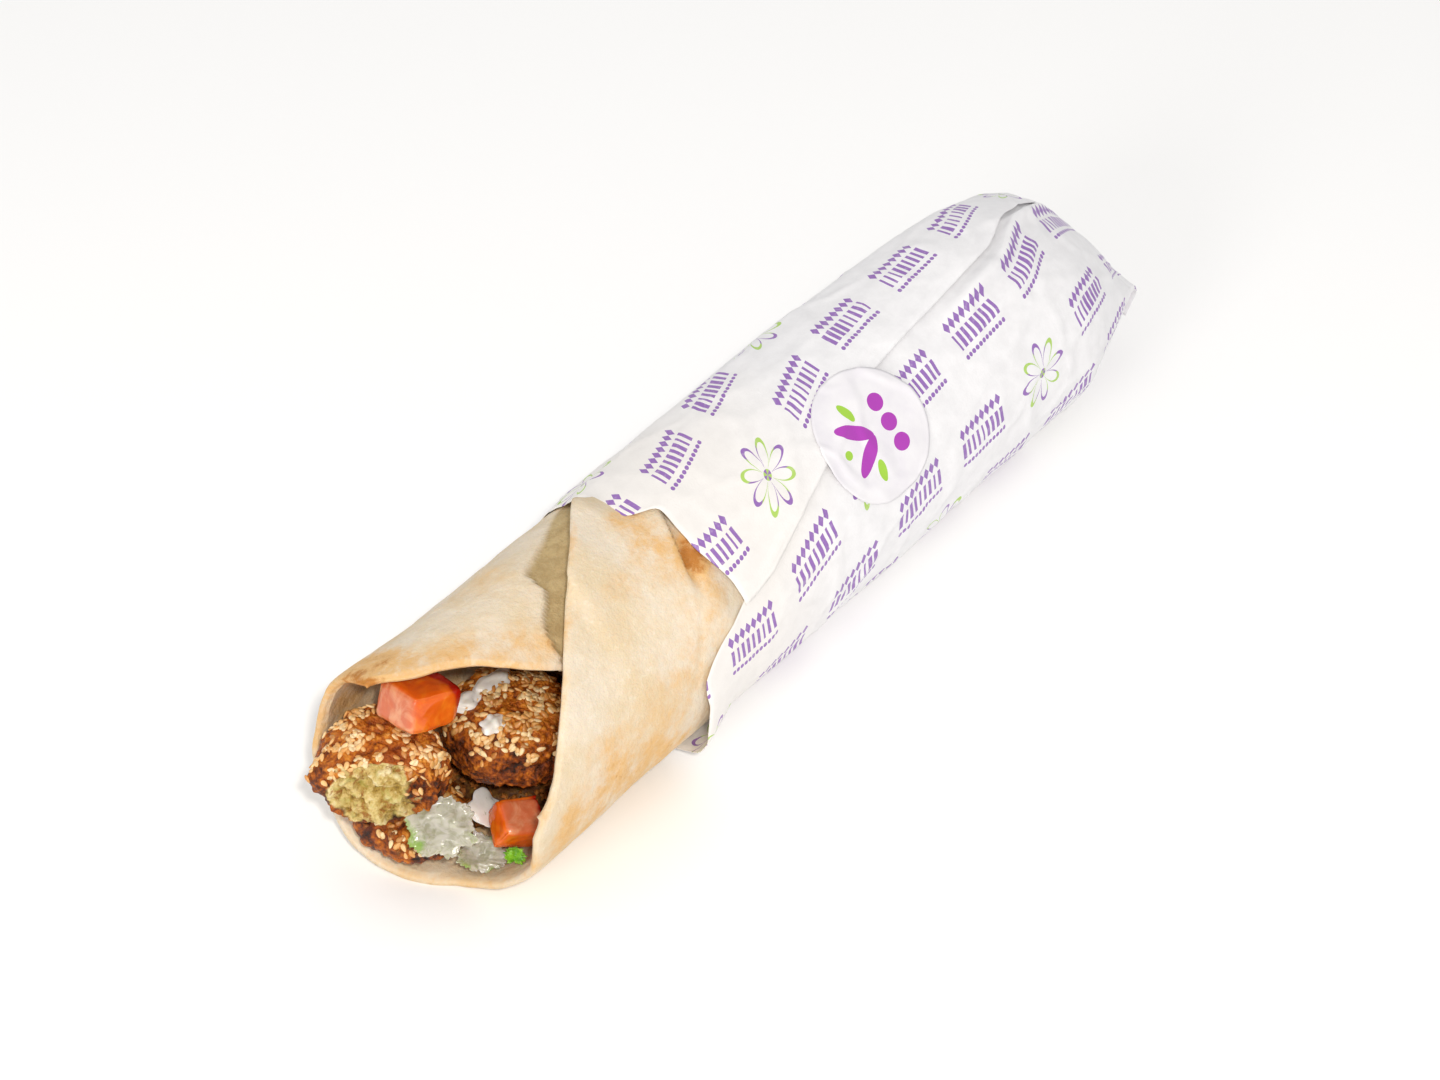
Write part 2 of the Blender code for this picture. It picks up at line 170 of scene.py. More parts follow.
def smoothstep(low, high, x):
    share = min(1.0, max(0.0, (x - low) / (high - low)))
    return share * share * (3 - 2 * share)


def fade(low, high, x):
    """From 1 at the low end to 0 at the high end."""
    return 1 - smoothstep(low, high, x)


def lerp(low, high, share):
    return low + (high - low) * share


def bell(x, centre, half_width):
    return math.exp(-(((x - centre) / half_width) ** 2))


def curve_through(points):
    """A smooth function through these (x, y) points, level beyond the first and the last."""
    ordered = sorted(points)
    xs = np.array([p[0] for p in ordered], float)
    ys = np.array([p[1] for p in ordered], float)
    steps = np.diff(ys) / np.diff(xs)
    slopes = np.zeros(len(xs))
    for i in range(1, len(xs) - 1):
        if steps[i - 1] * steps[i] > 0:
            slopes[i] = 2 * steps[i - 1] * steps[i] / (steps[i - 1] + steps[i])
    first, last = float(xs[0]), float(xs[-1])

    def value(x):
        if x <= first:
            return float(ys[0])
        if x >= last:
            return float(ys[-1])
        i = int(np.searchsorted(xs, x)) - 1
        span = xs[i + 1] - xs[i]
        t = (x - xs[i]) / span
        start = ys[i] * (2 * t**3 - 3 * t**2 + 1) + slopes[i] * span * (t**3 - 2 * t**2 + t)
        end = ys[i + 1] * (3 * t**2 - 2 * t**3) + slopes[i + 1] * span * (t**3 - t**2)
        return float(start + end)

    return value


bread_radius = curve_through(BREAD_RADIUS)
front_rim = curve_through(FRONT_RIM)
flap_edge = curve_through(FLAP_EDGE)
inner_edge = curve_through(INNER_EDGE)
step_and_painted_shadow_edge = curve_through(STEP_AND_PAINTED_SHADOW_EDGE)
paper_seam = curve_through(PAPER_SEAM)
paper_front = curve_through(PAPER_FRONT)


def arc(angle, radius=BASE_RADIUS):
    """The length of an angle round the roll."""
    return math.radians(angle) * radius


def radial(angle):
    turn = math.radians(angle)
    return Vector((0, -math.sin(turn), math.cos(turn)))


def ripple(setback, angle, length, wind, shift=(0, 0)):
    """Noise over the roll that meets itself after one turn, for this length along the roll and
    more changes round it the higher the wind."""
    return noise.noise(Vector((setback / length, *shift)) + radial(angle) * wind)


TILT = Matrix.Rotation(math.radians(NOTCH_ANGLE), 3, "X")
WORLD_UP = TILT.inverted() @ Vector((0, 0, 1))


def on_table(point):
    """From the roll's own frame in millimetres to the row frame in metres."""
    return (TILT @ point + Vector((-LENGTH / 2, 0, AXIS_HEIGHT))) * MM


def end_shares(setback):
    """How much of the roll's width and height is left at this setback: back, front and height."""
    back, front, nose = (
        max(0.0, (setback - start) / (PINCH_SETBACK - start)) ** power
        for start, power in ((NARROWING_BACK, 1.6), (NARROWING_FRONT, 1.2), (NOSE_START, 2.2))
    )
    height = max(0.0, 1 - nose) ** 0.6
    return lerp(1, PINCH_BACK_SHARE, back), lerp(1, PINCH_FRONT_SHARE, front), height


def place(setback, angle, radius, hem=0.0):
    """The point at this radius, with the far end pressed flat along the line of the pinch.

    Beyond the pinch the sheet runs on as a hem, which bends down round its bend radius."""
    back, front, height = end_shares(setback)
    offset = radius - BASE_RADIUS
    turn = math.radians(angle - PINCH_ANGLE)
    width = BASE_RADIUS * (front if math.cos(turn) > 0 else back) + offset
    half = max(BASE_RADIUS * height, PINCH_HALF_GAP) + offset
    along = width * math.cos(turn)
    across = half * math.sin(turn)
    bend = math.radians(min(HEM_TURN, math.degrees(hem / HEM_BEND_RADIUS)))
    straight = hem - bend * HEM_BEND_RADIUS
    forward = HEM_BEND_RADIUS * math.sin(bend) + straight * math.cos(bend)
    down = HEM_BEND_RADIUS * (1 - math.cos(bend)) + straight * math.sin(bend)
    middle = Vector((setback + forward, 0, 0)) + radial(PINCH_ANGLE + 90) * down
    outward = Vector((math.sin(bend), 0, 0)) - radial(PINCH_ANGLE + 90) * math.cos(bend)
    return middle + radial(PINCH_ANGLE) * along - outward * across


def raised(point, floor):
    """The point lifted, if need be, to this height over the table."""
    height = AXIS_HEIGHT + point.dot(WORLD_UP)
    if height < floor:
        point = point + WORLD_UP * (floor - height)
    return point


# Meshes

def object_from(name, body, materials):
    """A new object from a bmesh that is already in the row frame, in metres."""
    mesh = bpy.data.meshes.new(name)
    body.to_mesh(mesh)
    body.free()
    for material in materials:
        mesh.materials.append(material)
    obj = bpy.data.objects.new(name, mesh)
    bpy.context.scene.collection.objects.link(obj)
    for polygon in mesh.polygons:
        polygon.use_smooth = True
    return obj


def settle(obj):
    """Apply an object's modifiers, so that it is one plain mesh."""
    graph = bpy.context.evaluated_depsgraph_get()
    plain = bpy.data.meshes.new_from_object(obj.evaluated_get(graph))
    obj.modifiers.clear()
    obj.data = plain
    return obj


def sheet(name, columns, rows, shape, thickness, materials, marks=(), thin=None):
    """A thin piece from a grid, whose shape function gives the point for two shares from 0 to 1.

    Shape returns the point in the row frame, the two UV values, and a dictionary of marks, which
    become attributes of the same names. Thin gives the share of the thickness at a vertex."""
    body = bmesh.new()
    bmesh.ops.create_grid(body, x_segments=columns, y_segments=rows, size=0.5)
    layers = {mark: body.verts.layers.float.new(mark) for mark in marks}
    uv_values = {}
    shares = {}
    for vert in body.verts:
        share_x, share_y = vert.co.x + 0.5, vert.co.y + 0.5
        point, uv, values = shape(share_x, share_y)
        uv_values[vert.index] = uv
        for mark, value in values.items():
            vert[layers[mark]] = value
        if thin:
            shares[vert.index] = thin(share_x, share_y)
        vert.co = point
    uv_layer = body.loops.layers.uv.new("sheet")
    for face in body.faces:
        for loop in face.loops:
            loop[uv_layer].uv = uv_values[loop.vert.index]
    obj = object_from(name, body, materials)
    shell = obj.modifiers.new("thickness", "SOLIDIFY")
    shell.thickness = thickness * MM
    shell.offset = -1
    if thin:
        group = obj.vertex_groups.new(name="edge")
        for index, share in shares.items():
            group.add([index], share, "REPLACE")
        shell.vertex_group = "edge"
    return settle(obj)


# Materials

def linear(hex_colour):
    """An sRGB hex colour as linear values, with full alpha."""
    channels = [int(hex_colour[i:i + 2], 16) / 255 for i in (1, 3, 5)]
    return [c / 12.92 if c <= 0.04045 else ((c + 0.055) / 1.055) ** 2.4 for c in channels] + [1.0]


def add(tree, kind, settings=(), **links):
    """Add a node. Settings are (name or socket number, value) pairs. Links are socket names with
    spaces as underscores, or s0, s1 for a socket by its number, each with its source: a number, a
    value, a socket, or a node for its first output."""
    node = tree.nodes.new(kind)
    for name, value in settings:
        if isinstance(name, int) or name in [s.name for s in node.inputs]:
            node.inputs[name].default_value = value
        else:
            setattr(node, name, value)
    for name, source in links.items():
        number = name[1:]
        socket = node.inputs[int(number) if number.isdigit() else name.replace("_", " ")]
        if isinstance(source, Value):
            source = source.socket
        elif isinstance(source, bpy.types.Node):
            source = source.outputs[0]
        if isinstance(source, (int, float)):
            socket.default_value = source
        else:
            tree.links.new(source, socket)
    return node


class Value:
    """What a material works out at each point. Arithmetic on values adds the nodes for it."""

    def __init__(self, socket):
        self.socket = socket
        self.tree = socket.id_data

    def maths(self, operation, *others):
        links = {f"s{number}": value for number, value in enumerate((self, *others))}
        return Value(add(self.tree, "ShaderNodeMath", [("operation", operation)], **links).outputs[0])

    __add__ = partialmethod(maths, "ADD")
    __sub__ = partialmethod(maths, "SUBTRACT")
    __mul__ = partialmethod(maths, "MULTIPLY")
    __truediv__ = partialmethod(maths, "DIVIDE")
    __lt__ = partialmethod(maths, "LESS_THAN")
    __gt__ = partialmethod(maths, "GREATER_THAN")
    __abs__ = partialmethod(maths, "ABSOLUTE")

    def into(self, node, name):
        """Link this value to an input of a node."""
        self.tree.links.new(self.socket, node.inputs[name])


def ramp(source, stops):
    """A colour ramp through (place, hex colour) stops."""
    node = add(source.tree, "ShaderNodeValToRGB", s0=source)
    elements = node.color_ramp.elements
    while len(elements) < len(stops):
        elements.new(1.0)
    for element, (at, colour) in zip(elements, stops):
        element.position = at
        element.color = linear(colour)
    return Value(node.outputs[0])


def window(source, low, high, to_low=0.0, to_high=1.0):
    """Map a value smoothly from one range to another, held inside the second."""
    settings = [("interpolation_type", "SMOOTHSTEP"), (1, low), (2, high), (3, to_low), (4, to_high)]
    return Value(add(source.tree, "ShaderNodeMapRange", settings, s0=source).outputs[0])


def blend(share, first, second):
    """Mix two colours, each a hex colour or a value."""
    node = add(share.tree, "ShaderNodeMix", [("data_type", "RGBA")], s0=share)
    for number, colour in ((6, first), (7, second)):
        if isinstance(colour, str):
            node.inputs[number].default_value = linear(colour)
        else:
            colour.into(node, number)
    return Value(node.outputs[2])


def grain(where, size_mm, detail=3.0, roughness=0.55, distortion=0.0):
    """Noise whose features are about this many millimetres across, from 0 to 1."""
    settings = [
        ("Scale", 1 / (size_mm * MM)), ("Detail", detail), ("Roughness", roughness),
        ("Distortion", distortion),
    ]
    return Value(add(where.tree, "ShaderNodeTexNoise", settings, Vector=where).outputs[0])


def mark(where, name):
    """One of the attributes that a piece's mesh carries."""
    node = add(where.tree, "ShaderNodeAttribute", [("attribute_name", name)])
    return Value(node.outputs["Fac"])


def on_sheet(where):
    """The place on a sheet laid flat, in millimetres: both ways at once, along it and across it."""
    flat = add(where.tree, "ShaderNodeUVMap", [("uv_map", "sheet")]).outputs[0]
    split = add(where.tree, "ShaderNodeSeparateXYZ", s0=flat)
    return [Value(socket) for socket in (flat, split.outputs[0], split.outputs[1])]


def new_material(name, roughness, specular=0.5):
    """A material with its shader, and the place of a point in metres."""
    material = bpy.data.materials.new(name)
    material.use_nodes = True
    tree = material.node_tree
    shader = tree.nodes["Principled BSDF"]
    shader.inputs["Roughness"].default_value = roughness
    shader.inputs["Specular IOR Level"].default_value = specular
    return material, shader, Value(add(tree, "ShaderNodeTexCoord").outputs["Object"])


def relief(shader, height, depth_mm, strength=1.0):
    """Bump from a height of 0 to 1, this many millimetres deep."""
    settings = [("Strength", strength), ("Distance", depth_mm * MM)]
    bump = add(height.tree, "ShaderNodeBump", settings, Height=height)
    Value(bump.outputs[0]).into(shader, "Normal")


def soften(shader, weight, radius_mm):
    """Let light sink in and spread, as it does in moist or starchy food."""
    shader.inputs["Subsurface Weight"].default_value = weight
    shader.inputs["Subsurface Radius"].default_value = radius_mm
    shader.inputs["Subsurface Scale"].default_value = MM


def baked_flatbread():
    """Wheat flatbread, rolled thin and baked on hot stone: floury and matt, pale where it puffed,
    golden with small brown flecks where it touched the stone, with painted shade in the dent beside the
    paper and the flap's shadow painted on beside the flap's edge."""
    material, shader, where = new_material("baked flatbread", 0.78, 0.25)
    toast = mark(where, "toast")
    cloudy = grain(where, 16, 3, 0.6)
    mottle = grain(where, 3.2, 4, 0.7, 0.3)
    fine = grain(where, 1.3, 4, 0.7)
    specks = grain(where, 2.4, 3, 0.6, 0.4)
    level = toast + (cloudy - 0.5) * 0.5 + (mottle - 0.5) * (toast * 1.5 + 0.45)
    colour = blend(window(cloudy, 0.35, 0.7), "#E2D4BF", "#DCC8A7")
    colour = blend(window(level, 0.02, 0.8), colour, "#DEB379")
    colour = blend(window(level, 0.75, 1.35), colour, "#B87A38")
    flecked = window(specks, 0.62, 0.76) * window(level, 0.25, 0.8, 0.0, 0.6)
    colour = blend(flecked, colour, "#BD8444")
    floury = window(fine, 0.5, 0.75) * window(level, 0.0, 0.5, 0.45, 0.12)
    colour = blend(floury, colour, "#EFE5D2")
    # Painted shadow: where the flap casts its shadow beside its edge, the colour goes to a shaded tan.
    painted_flap_shadow = blend(window(mottle, 0.3, 0.7), "#C3AC7F", "#AD9468")
    blend(mark(where, "torn"), colour, painted_flap_shadow).into(shader, "Base Color")
    soften(shader, 0.12, (2.2, 1.3, 0.7))
    relief(shader, fine * 0.6 + grain(where, 4, 3) * 0.8, 0.5)
    return material


def greaseproof_paper():
    """Bleached greaseproof paper, calendered so that it has a low sheen, with flat violet and
    green ink on it, and warmer where the bread shows through."""
    material, shader, where = new_material("printed greaseproof paper", 0.42, 0.4)
    pulp = grain(where, 4, 4, 0.6)
    base = blend(window(pulp, 0.3, 0.75), "#F1F0F2", "#E9E8EA")
    base = blend(mark(where, "warm") * 0.55, base, "#F0E8DC")
    wrapper_print(where, base).into(shader, "Base Color")
    soften(shader, 0.15, (1.0, 1.0, 1.0))
    relief(shader, grain(where, 0.5, 2) * 0.4 + pulp, 0.12, 0.5)
    return material


def wrapper_print(where, base):
    """Blocks of small shapes with an open rosette after every four, in rows that are set off by
    half a step, all worked out from the sheet's own millimetres."""
    flat, along, round_way = on_sheet(where)
    row_at = round_way / PRINT_ROW_PITCH
    row = row_at.maths("FLOOR")
    across = (row_at.maths("FRACT") - 0.5) * PRINT_ROW_PITCH
    step_at = along / PRINT_STEP_PITCH + (row + 40.0).maths("MODULO", 2.0) * 0.5
    step = step_at.maths("FLOOR")
    length = (step_at.maths("FRACT") - 0.5) * PRINT_STEP_PITCH
    is_rosette = (row * 2.0 + step + 60.0).maths("MODULO", 5.0) < 0.5
    is_block = is_rosette * -1.0 + 1.0

    # A block: a line of lozenges, a line of upright bars and a line of dots
    block = None
    for at, half_height, half_length, pitch, form in PRINTED_LINES:
        high = abs(across - at) / half_height
        place_in = (length + half_length) / pitch
        wide = abs(place_in.maths("FRACT") - 0.5)
        if form == "lozenge":
            ink = wide * 2.1 + high < 1.0
        elif form == "bar":
            seed = add(where.tree, "ShaderNodeCombineXYZ", s0=place_in.maths("FLOOR"), s1=row, s2=step)
            chance = add(where.tree, "ShaderNodeTexWhiteNoise", Vector=seed)
            half_width = Value(chance.outputs[0]) * 0.2 + 0.16
            ink = (wide < half_width) * (high < 1.0)
        else:
            broad = wide * (pitch / half_height)
            ink = broad * broad + high * high < 0.75
        line = ink * (abs(length) < half_length)
        block = line if block is None else block.maths("MAXIMUM", line)

    # A rosette: the outlines of eight petals, in two colours, round a small centre
    far = (across * across + length * length).maths("SQRT")
    turn = across.maths("ARCTAN2", length) * 4.0
    outline = abs(turn.maths("COSINE")).maths("POWER", 0.6) * 7.6
    petal_line = (abs(far - outline) < 0.55) * (far > 1.6)
    rosette = petal_line.maths("MAXIMUM", far < 1.2) * is_rosette
    petals = blend((turn + 0.8).maths("SINE") > 0.0, "#A6CC52", "#8A5AAE")

    metres = add(where.tree, "ShaderNodeVectorMath", [("operation", "SCALE"), ("Scale", MM)], s0=flat)
    worn = window(grain(Value(metres.outputs[0]), 1.2, 2), 0.25, 0.5, 0.78, 0.95)
    inked = blend(block * is_block * worn, base, "#8A5CAE")
    return blend(rosette * worn, inked, petals)


def label_paper():
    """Coated label paper, smooth and bright, with flat ovals of violet and green ink."""
    material, shader, where = new_material("coated label paper", 0.4, 0.4)
    x, y = on_sheet(where)[1:]
    colour = blend(window(grain(where, 6, 2), 0.3, 0.8), "#E7E5E8", "#DFDCE2")
    for at_x, at_y, half_x, half_y, turn, ink in LABEL_OVALS:
        cosine, sine = math.cos(math.radians(turn)), math.sin(math.radians(turn))
        u = (x - at_x) * (cosine / half_x) + (y - at_y) * (sine / half_x)
        v = (x - at_x) * (-sine / half_y) + (y - at_y) * (cosine / half_y)
        colour = blend(u * u + v * v < 1.0, colour, ink)
    colour.into(shader, "Base Color")
    relief(shader, grain(where, 1.0, 2), 0.05, 0.4)
    return material


def fried_crust():
    """Deep-fried chickpea crust: brittle and oily, near black in its pits, red-brown on the
    slopes and amber on the tips. Inside, where it is broken, a soft crumb flecked with herbs."""
    material, shader, where = new_material("fried chickpea crust", 0.5, 0.35)
    crumb = mark(where, "crumb")
    height = mark(where, "height")
    bits = grain(where, 1.1, 4, 0.7)
    tone = height + (grain(where, 5, 4, 0.65) - 0.5) * 0.7 + (bits - 0.5) * 1.1
    # The sides are darker than the top: partly their plainer crust, partly painted shade for sides that
    # face away from the light above.
    tone = tone - mark(where, "wall_shade") * 0.20
    crust = ramp(tone, (
        (0.0, "#260E02"), (0.2, "#6E3004"), (0.42, "#B25C0A"), (0.68, "#DC8C2C"), (1.0, "#F2BF70"),
    ))
    oily = window(grain(where, 4.0, 2, 0.5, 0.6), 0.56, 0.68, 0, 0.55)
    glaze = ramp(tone, ((0.1, "#6C2B08"), (0.45, "#A65016"), (0.9, "#D07C3C")))
    crust = blend(oily.maths("MAXIMUM", mark(where, "bare")), crust, glaze)
    inside = ramp(bits * 0.75 + height * 0.5, (
        (0.2, "#584012"), (0.38, "#AA8A3C"), (0.58, "#D6BD7A"), (0.85, "#F0E2B4"),
    ))
    inside = blend(window(grain(where, 2.6, 2, 0.5), 0.54, 0.68, 0, 0.3), inside, "#A0A850")
    inside = blend(window(grain(where, 2.8, 4, 0.7, 0.5), 0.54, 0.66, 0, 0.8), inside, "#96581E")
    blend(crumb, crust, inside).into(shader, "Base Color")
    (window(bits, 0.3, 0.7, 0.36, 0.62) + crumb * 0.2).into(shader, "Roughness")
    soften(shader, 0.04, (1.6, 0.6, 0.2))
    relief(shader, bits + grain(where, 0.6, 2) * 0.5, 0.7)
    return material


def toasted_sesame():
    """Hulled sesame toasted in the fryer: cream to amber, smooth, with a film of oil."""
    material, shader, where = new_material("toasted sesame", 0.34)
    tone = mark(where, "tone") + grain(where, 1.5, 2) * 0.35
    colour = ramp(tone, ((0.1, "#A9682B"), (0.45, "#DCA05A"), (0.85, "#EEC286"), (1.2, "#F4D4A2")))
    colour.into(shader, "Base Color")
    soften(shader, 0.25, (1.0, 0.7, 0.4))
    relief(shader, grain(where, 0.5, 2), 0.06, 0.5)
    return material


def cut_tomato():
    """Ripe tomato, chopped: wet flesh, orange to pink with pale veins, and glossy red skin."""
    material, shader, where = new_material("cut tomato", 0.2)
    veins = grain(where, 4.5, 4, 0.6, 0.8)
    flesh = ramp(veins, ((0.25, "#CE4E08"), (0.5, "#DC620C"), (0.7, "#E47818"), (0.9, "#EA9A44")))
    near_core = blend(window(veins, 0.4, 0.7), "#CB6C46", "#DE9D76")
    flesh = blend(mark(where, "pale"), flesh, near_core)
    blend(mark(where, "skin"), flesh, "#A91405").into(shader, "Base Color")
    soften(shader, 0.35, (3.0, 1.0, 0.4))
    relief(shader, veins, 0.2, 0.4)
    return material


def lettuce_rib():
    """Iceberg lettuce near its rib: watery and near white, going green at the torn edge."""
    material, shader, where = new_material("crisp lettuce", 0.18, 0.6)
    veins = grain(where, 2.4, 4, 0.6, 1.2)
    pale = blend(window(veins, 0.35, 0.7), "#BBB6A8", "#97947C")
    edge = mark(where, "rim") + (veins - 0.5) * 0.6 + (grain(where, 6, 2) - 0.5)
    blend(window(edge, 0.72, 1.1), pale, "#7F9C46").into(shader, "Base Color")
    soften(shader, 0.45, (2.0, 2.4, 1.2))
    relief(shader, veins, 0.2, 0.5)
    return material


def fresh_herb():
    """A scrap of fresh parsley: thin, deep green and slightly waxy."""
    material, shader, where = new_material("fresh parsley", 0.35)
    colour = blend(window(grain(where, 1.4, 3), 0.3, 0.7), "#4C8A12", "#86BE2C")
    colour.into(shader, "Base Color")
    soften(shader, 0.3, (0.8, 1.6, 0.4))
    relief(shader, grain(where, 1.0, 2), 0.15, 0.6)
    return material


def tahini_sauce():
    """Thinned tahini: opaque, ivory and wet, with a few flecks of herb."""
    material, shader, where = new_material("tahini sauce", 0.22)
    cloud = grain(where, 3.5, 3)
    colour = blend(window(cloud, 0.3, 0.7), "#FFFDF8", "#F6F3EA")
    colour = blend(window(grain(where, 1.6, 2), 0.66, 0.72, 0, 0.5), colour, "#9BA56A")
    colour.into(shader, "Base Color")
    soften(shader, 0.3, (1.4, 1.2, 0.9))
    relief(shader, cloud, 0.3, 0.5)
    return material


def moist_filling():
    """Crushed falafel and herbs behind the pieces in front: dark, moist and crumbly."""
    material, shader, where = new_material("crushed falafel filling", 0.55, 0.4)
    bits = grain(where, 2.4, 4, 0.65)
    colour = ramp(bits, ((0.25, "#2A1507"), (0.45, "#5B3414"), (0.6, "#7A5420"), (0.78, "#8E8136")))
    colour.into(shader, "Base Color")
    relief(shader, bits, 0.8, 0.9)
    return material


# The flatbread

TOASTED_AND_SHADED_SPOTS = (
    # setback, angle, half length, half width in mm, strength
    (79, 12, 4, 7, 0.35), (72, 26, 8, 10, 0.3), (75, -22, 6, 8, 0.6), (66, -8, 9, 6, 0.4),
    # The spot at setback 80, angle -2 is painted shade: it darkens the recess of the dent beside the
    # paper.
    (62, 34, 12, 8, 0.35), (80, -2, 3.6, 4.6, 1.6), (45, 60, 10, 9, 0.55),
    (30, 62, 9, 8, 0.5), (58, 70, 10, 9, 0.4), (20, 60, 6, 8, 0.4),
    (62, -36, 12, 3, 0.5), (46, -12, 10, 2.5, 0.5), (36, 8, 7, 3, 0.4),
    (36, 40, 6, 6, 0.35), (30, 92, 14, 12, 0.5), (58, 100, 14, 14, 0.5), (22, -38, 9, 6, 0.45),
    (12, -66, 6, 9, 0.5), (34, -22, 8, 5, 0.35), (44, -62, 10, 8, 0.25), (24, 150, 16, 16, 0.6),
    (46, 200, 18, 16, 0.5), (14, 240, 12, 14, 0.6), (50, 250, 16, 14, 0.4), (11, 288, 8, 12, 0.7),
)


def step_and_painted_shadow_share(setback, angle):
    """1 beside the flap's edge, where the bread steps down and the flap's shadow is painted into its
    colour, and 0 elsewhere.
    """
    if angle - flap_edge(setback) < 240:
        return 0.0
    past = arc(angle - 360 - step_and_painted_shadow_edge(setback))
    past += 0.5 * noise.noise(Vector((setback / 4, angle / 9, 4)))
    return smoothstep(-0.55, 0.55, past) * smoothstep(37.5, 39.5, setback)


def flap_folds(setback, angle):
    """How far the flap's dent, lobe and crease beside the paper stand out, in millimetres."""
    past_fold = arc(angle - lerp(4.0, -13.5, (setback - 76) / 4.4))
    dent = -2.3 * smoothstep(-0.5, 0.7, past_fold) * fade(0.7, 8.5, past_fold)
    dent *= smoothstep(74.5, 79, setback)
    lobe = 1.5 * bell(setback, 77, 8) * bell(arc(angle - 22), 0, 6.5)
    lobe *= fade(78, 84, setback)
    crease = -0.3 * bell(arc(angle - lerp(0, 43, (79 - setback) / 13.4)), 0, 1.8)
    crease *= smoothstep(62, 70, setback) * fade(77, 80, setback)
    return dent + lobe + crease


def bread_surface(setback, angle):
    """Outer radius of the rolled bread, whose angle runs on past one turn from the flap's edge."""
    turn = angle - flap_edge(setback)
    radius = bread_radius(setback) + (BREAD_THICKNESS + BREAD_GAP) * (1 - turn / 360)
    lifted = 0.42 * smoothstep(24, 38, setback) + 0.70 * smoothstep(47, 53, setback)
    lifted *= fade(70, 79, setback)
    lifted *= max(0.0, 1 - turn / FLAP_LIFT_ANGLE) ** 2
    swell = 0.5 * ripple(setback, angle, 26, 1.3) * fade(50, 66, setback)
    curl = bell(angle, LIP_ANGLE, 28) * fade(3, 24, setback)
    puffs = 0.28 * ripple(setback, angle, 9, 3.4, (5, 0))
    puffs += 0.12 * ripple(setback, angle, 3.5, 8.5, (9, 0))
    puffs *= fade(70, 82, setback)
    torn = TORN_DEPTH * step_and_painted_shadow_share(setback, angle) * (1 - 0.85 * smoothstep(56, 74, setback))
    radius += FLAP_LIFT * lifted + LIP_CURL * curl + swell + puffs - torn
    return radius + flap_folds(setback, angle)


def toasting_and_shade(setback, angle):
    """How toasted the bread is here, from 0 to about 1, with painted shade added in the dent beside the
    paper.
    """
    value = 0.0
    for at, turn, half_length, half_width, strength in TOASTED_AND_SHADED_SPOTS:
        gap = (angle - turn + 180) % 360 - 180
        beside = bell(arc(gap, BREAD_FACE_RADIUS), 0, half_width)
        value += strength * bell(setback, at, half_length) * beside
    return value * (0.9 + 0.45 * ripple(setback, angle, 7, 4, (3, 0)))


def make_bread():
    """The flatbread, rolled a turn and a third, its flap over its other side."""
    shown_share, shown_end = 0.75, 86.0

    def where(share_round, share_back):
        start = front_rim(lerp(FRONT_RIM[0][0], FRONT_RIM[-1][0], share_round))
        if share_back < shown_share:
            setback = lerp(start, shown_end, share_back / shown_share)
        else:
            setback = lerp(shown_end, BREAD_END, (share_back - shown_share) / (1 - shown_share))
        angle = lerp(flap_edge(setback), inner_edge(setback), share_round)
        return start, setback, angle

    def sheet_span(setback):
        return arc(inner_edge(setback) - flap_edge(setback), BREAD_FACE_RADIUS)

    def edge_gap(share_round, share_back):
        """About how far it is to the nearest edge of the sheet that shows, in millimetres."""
        start, setback = where(share_round, share_back)[:2]
        return min(min(share_round, 1 - share_round) * sheet_span(setback) * 0.75, setback - start)

    def shape(share_round, share_back):
        start, setback, angle = where(share_round, share_back)
        gap = edge_gap(share_round, share_back)
        ragged = 0.35 * ripple(setback, angle, 5, 5, (2, 7)) * fade(0, 6, gap)
        radius = bread_surface(setback, angle) - 0.55 * fade(0, 1.3, gap)
        point = place(setback + ragged, angle, radius)
        point = raised(point, lerp(0, PAPER_SOLID_THICKNESS + PAPER_GAP, smoothstep(44, 62, setback)))
        value = toasting_and_shade(setback, angle)
        patchy = 0.7 + 0.5 * ripple(setback, angle, 5, 6, (8, 1))
        value += 0.2 * patchy * fade(0, 1.6, gap)
        near_inner_edge = fade(0, 6.5, (1 - share_round) * 60) * fade(40, 60, setback)
        value += 0.40 * patchy * near_inner_edge
        value += 0.15 * patchy * fade(0, 5.0, setback - start)
        from_flap_edge = share_round * sheet_span(setback)
        value -= 0.28 * fade(5, 12, from_flap_edge) * smoothstep(0.5, 3, from_flap_edge)
        # The torn mark is painted shadow: it darkens the bread where the flap casts its shadow.
        marks = {"toast": value, "torn": step_and_painted_shadow_share(setback, angle)}
        return on_table(point), (setback, angle * 0.5), marks

    def thin(share_round, share_back):
        return 0.62 + 0.38 * smoothstep(0, 1.8, edge_gap(share_round, share_back)) ** 0.6

    rows, columns = ((132, 300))
    obj = sheet(
        "flatbread_roll", columns, rows, shape, BREAD_THICKNESS, [FLATBREAD], ("toast", "torn"), thin,
    )
    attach(obj, "root")
    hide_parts("bread")


# The wrapping paper

def wrapped_surface(setback, angle):
    """Radius that the paper lies on: the bread, with the step at the flap's edge bridged."""
    turn = (angle - flap_edge(setback)) % 360
    step = (BREAD_THICKNESS + BREAD_GAP) * fade(BREAD_END + 1, PINCH_SETBACK, setback)
    bridge = smoothstep(360 - BRIDGE_ANGLE, 360, turn)
    return bread_radius(setback) + step * (1 - turn / 360 + bridge)


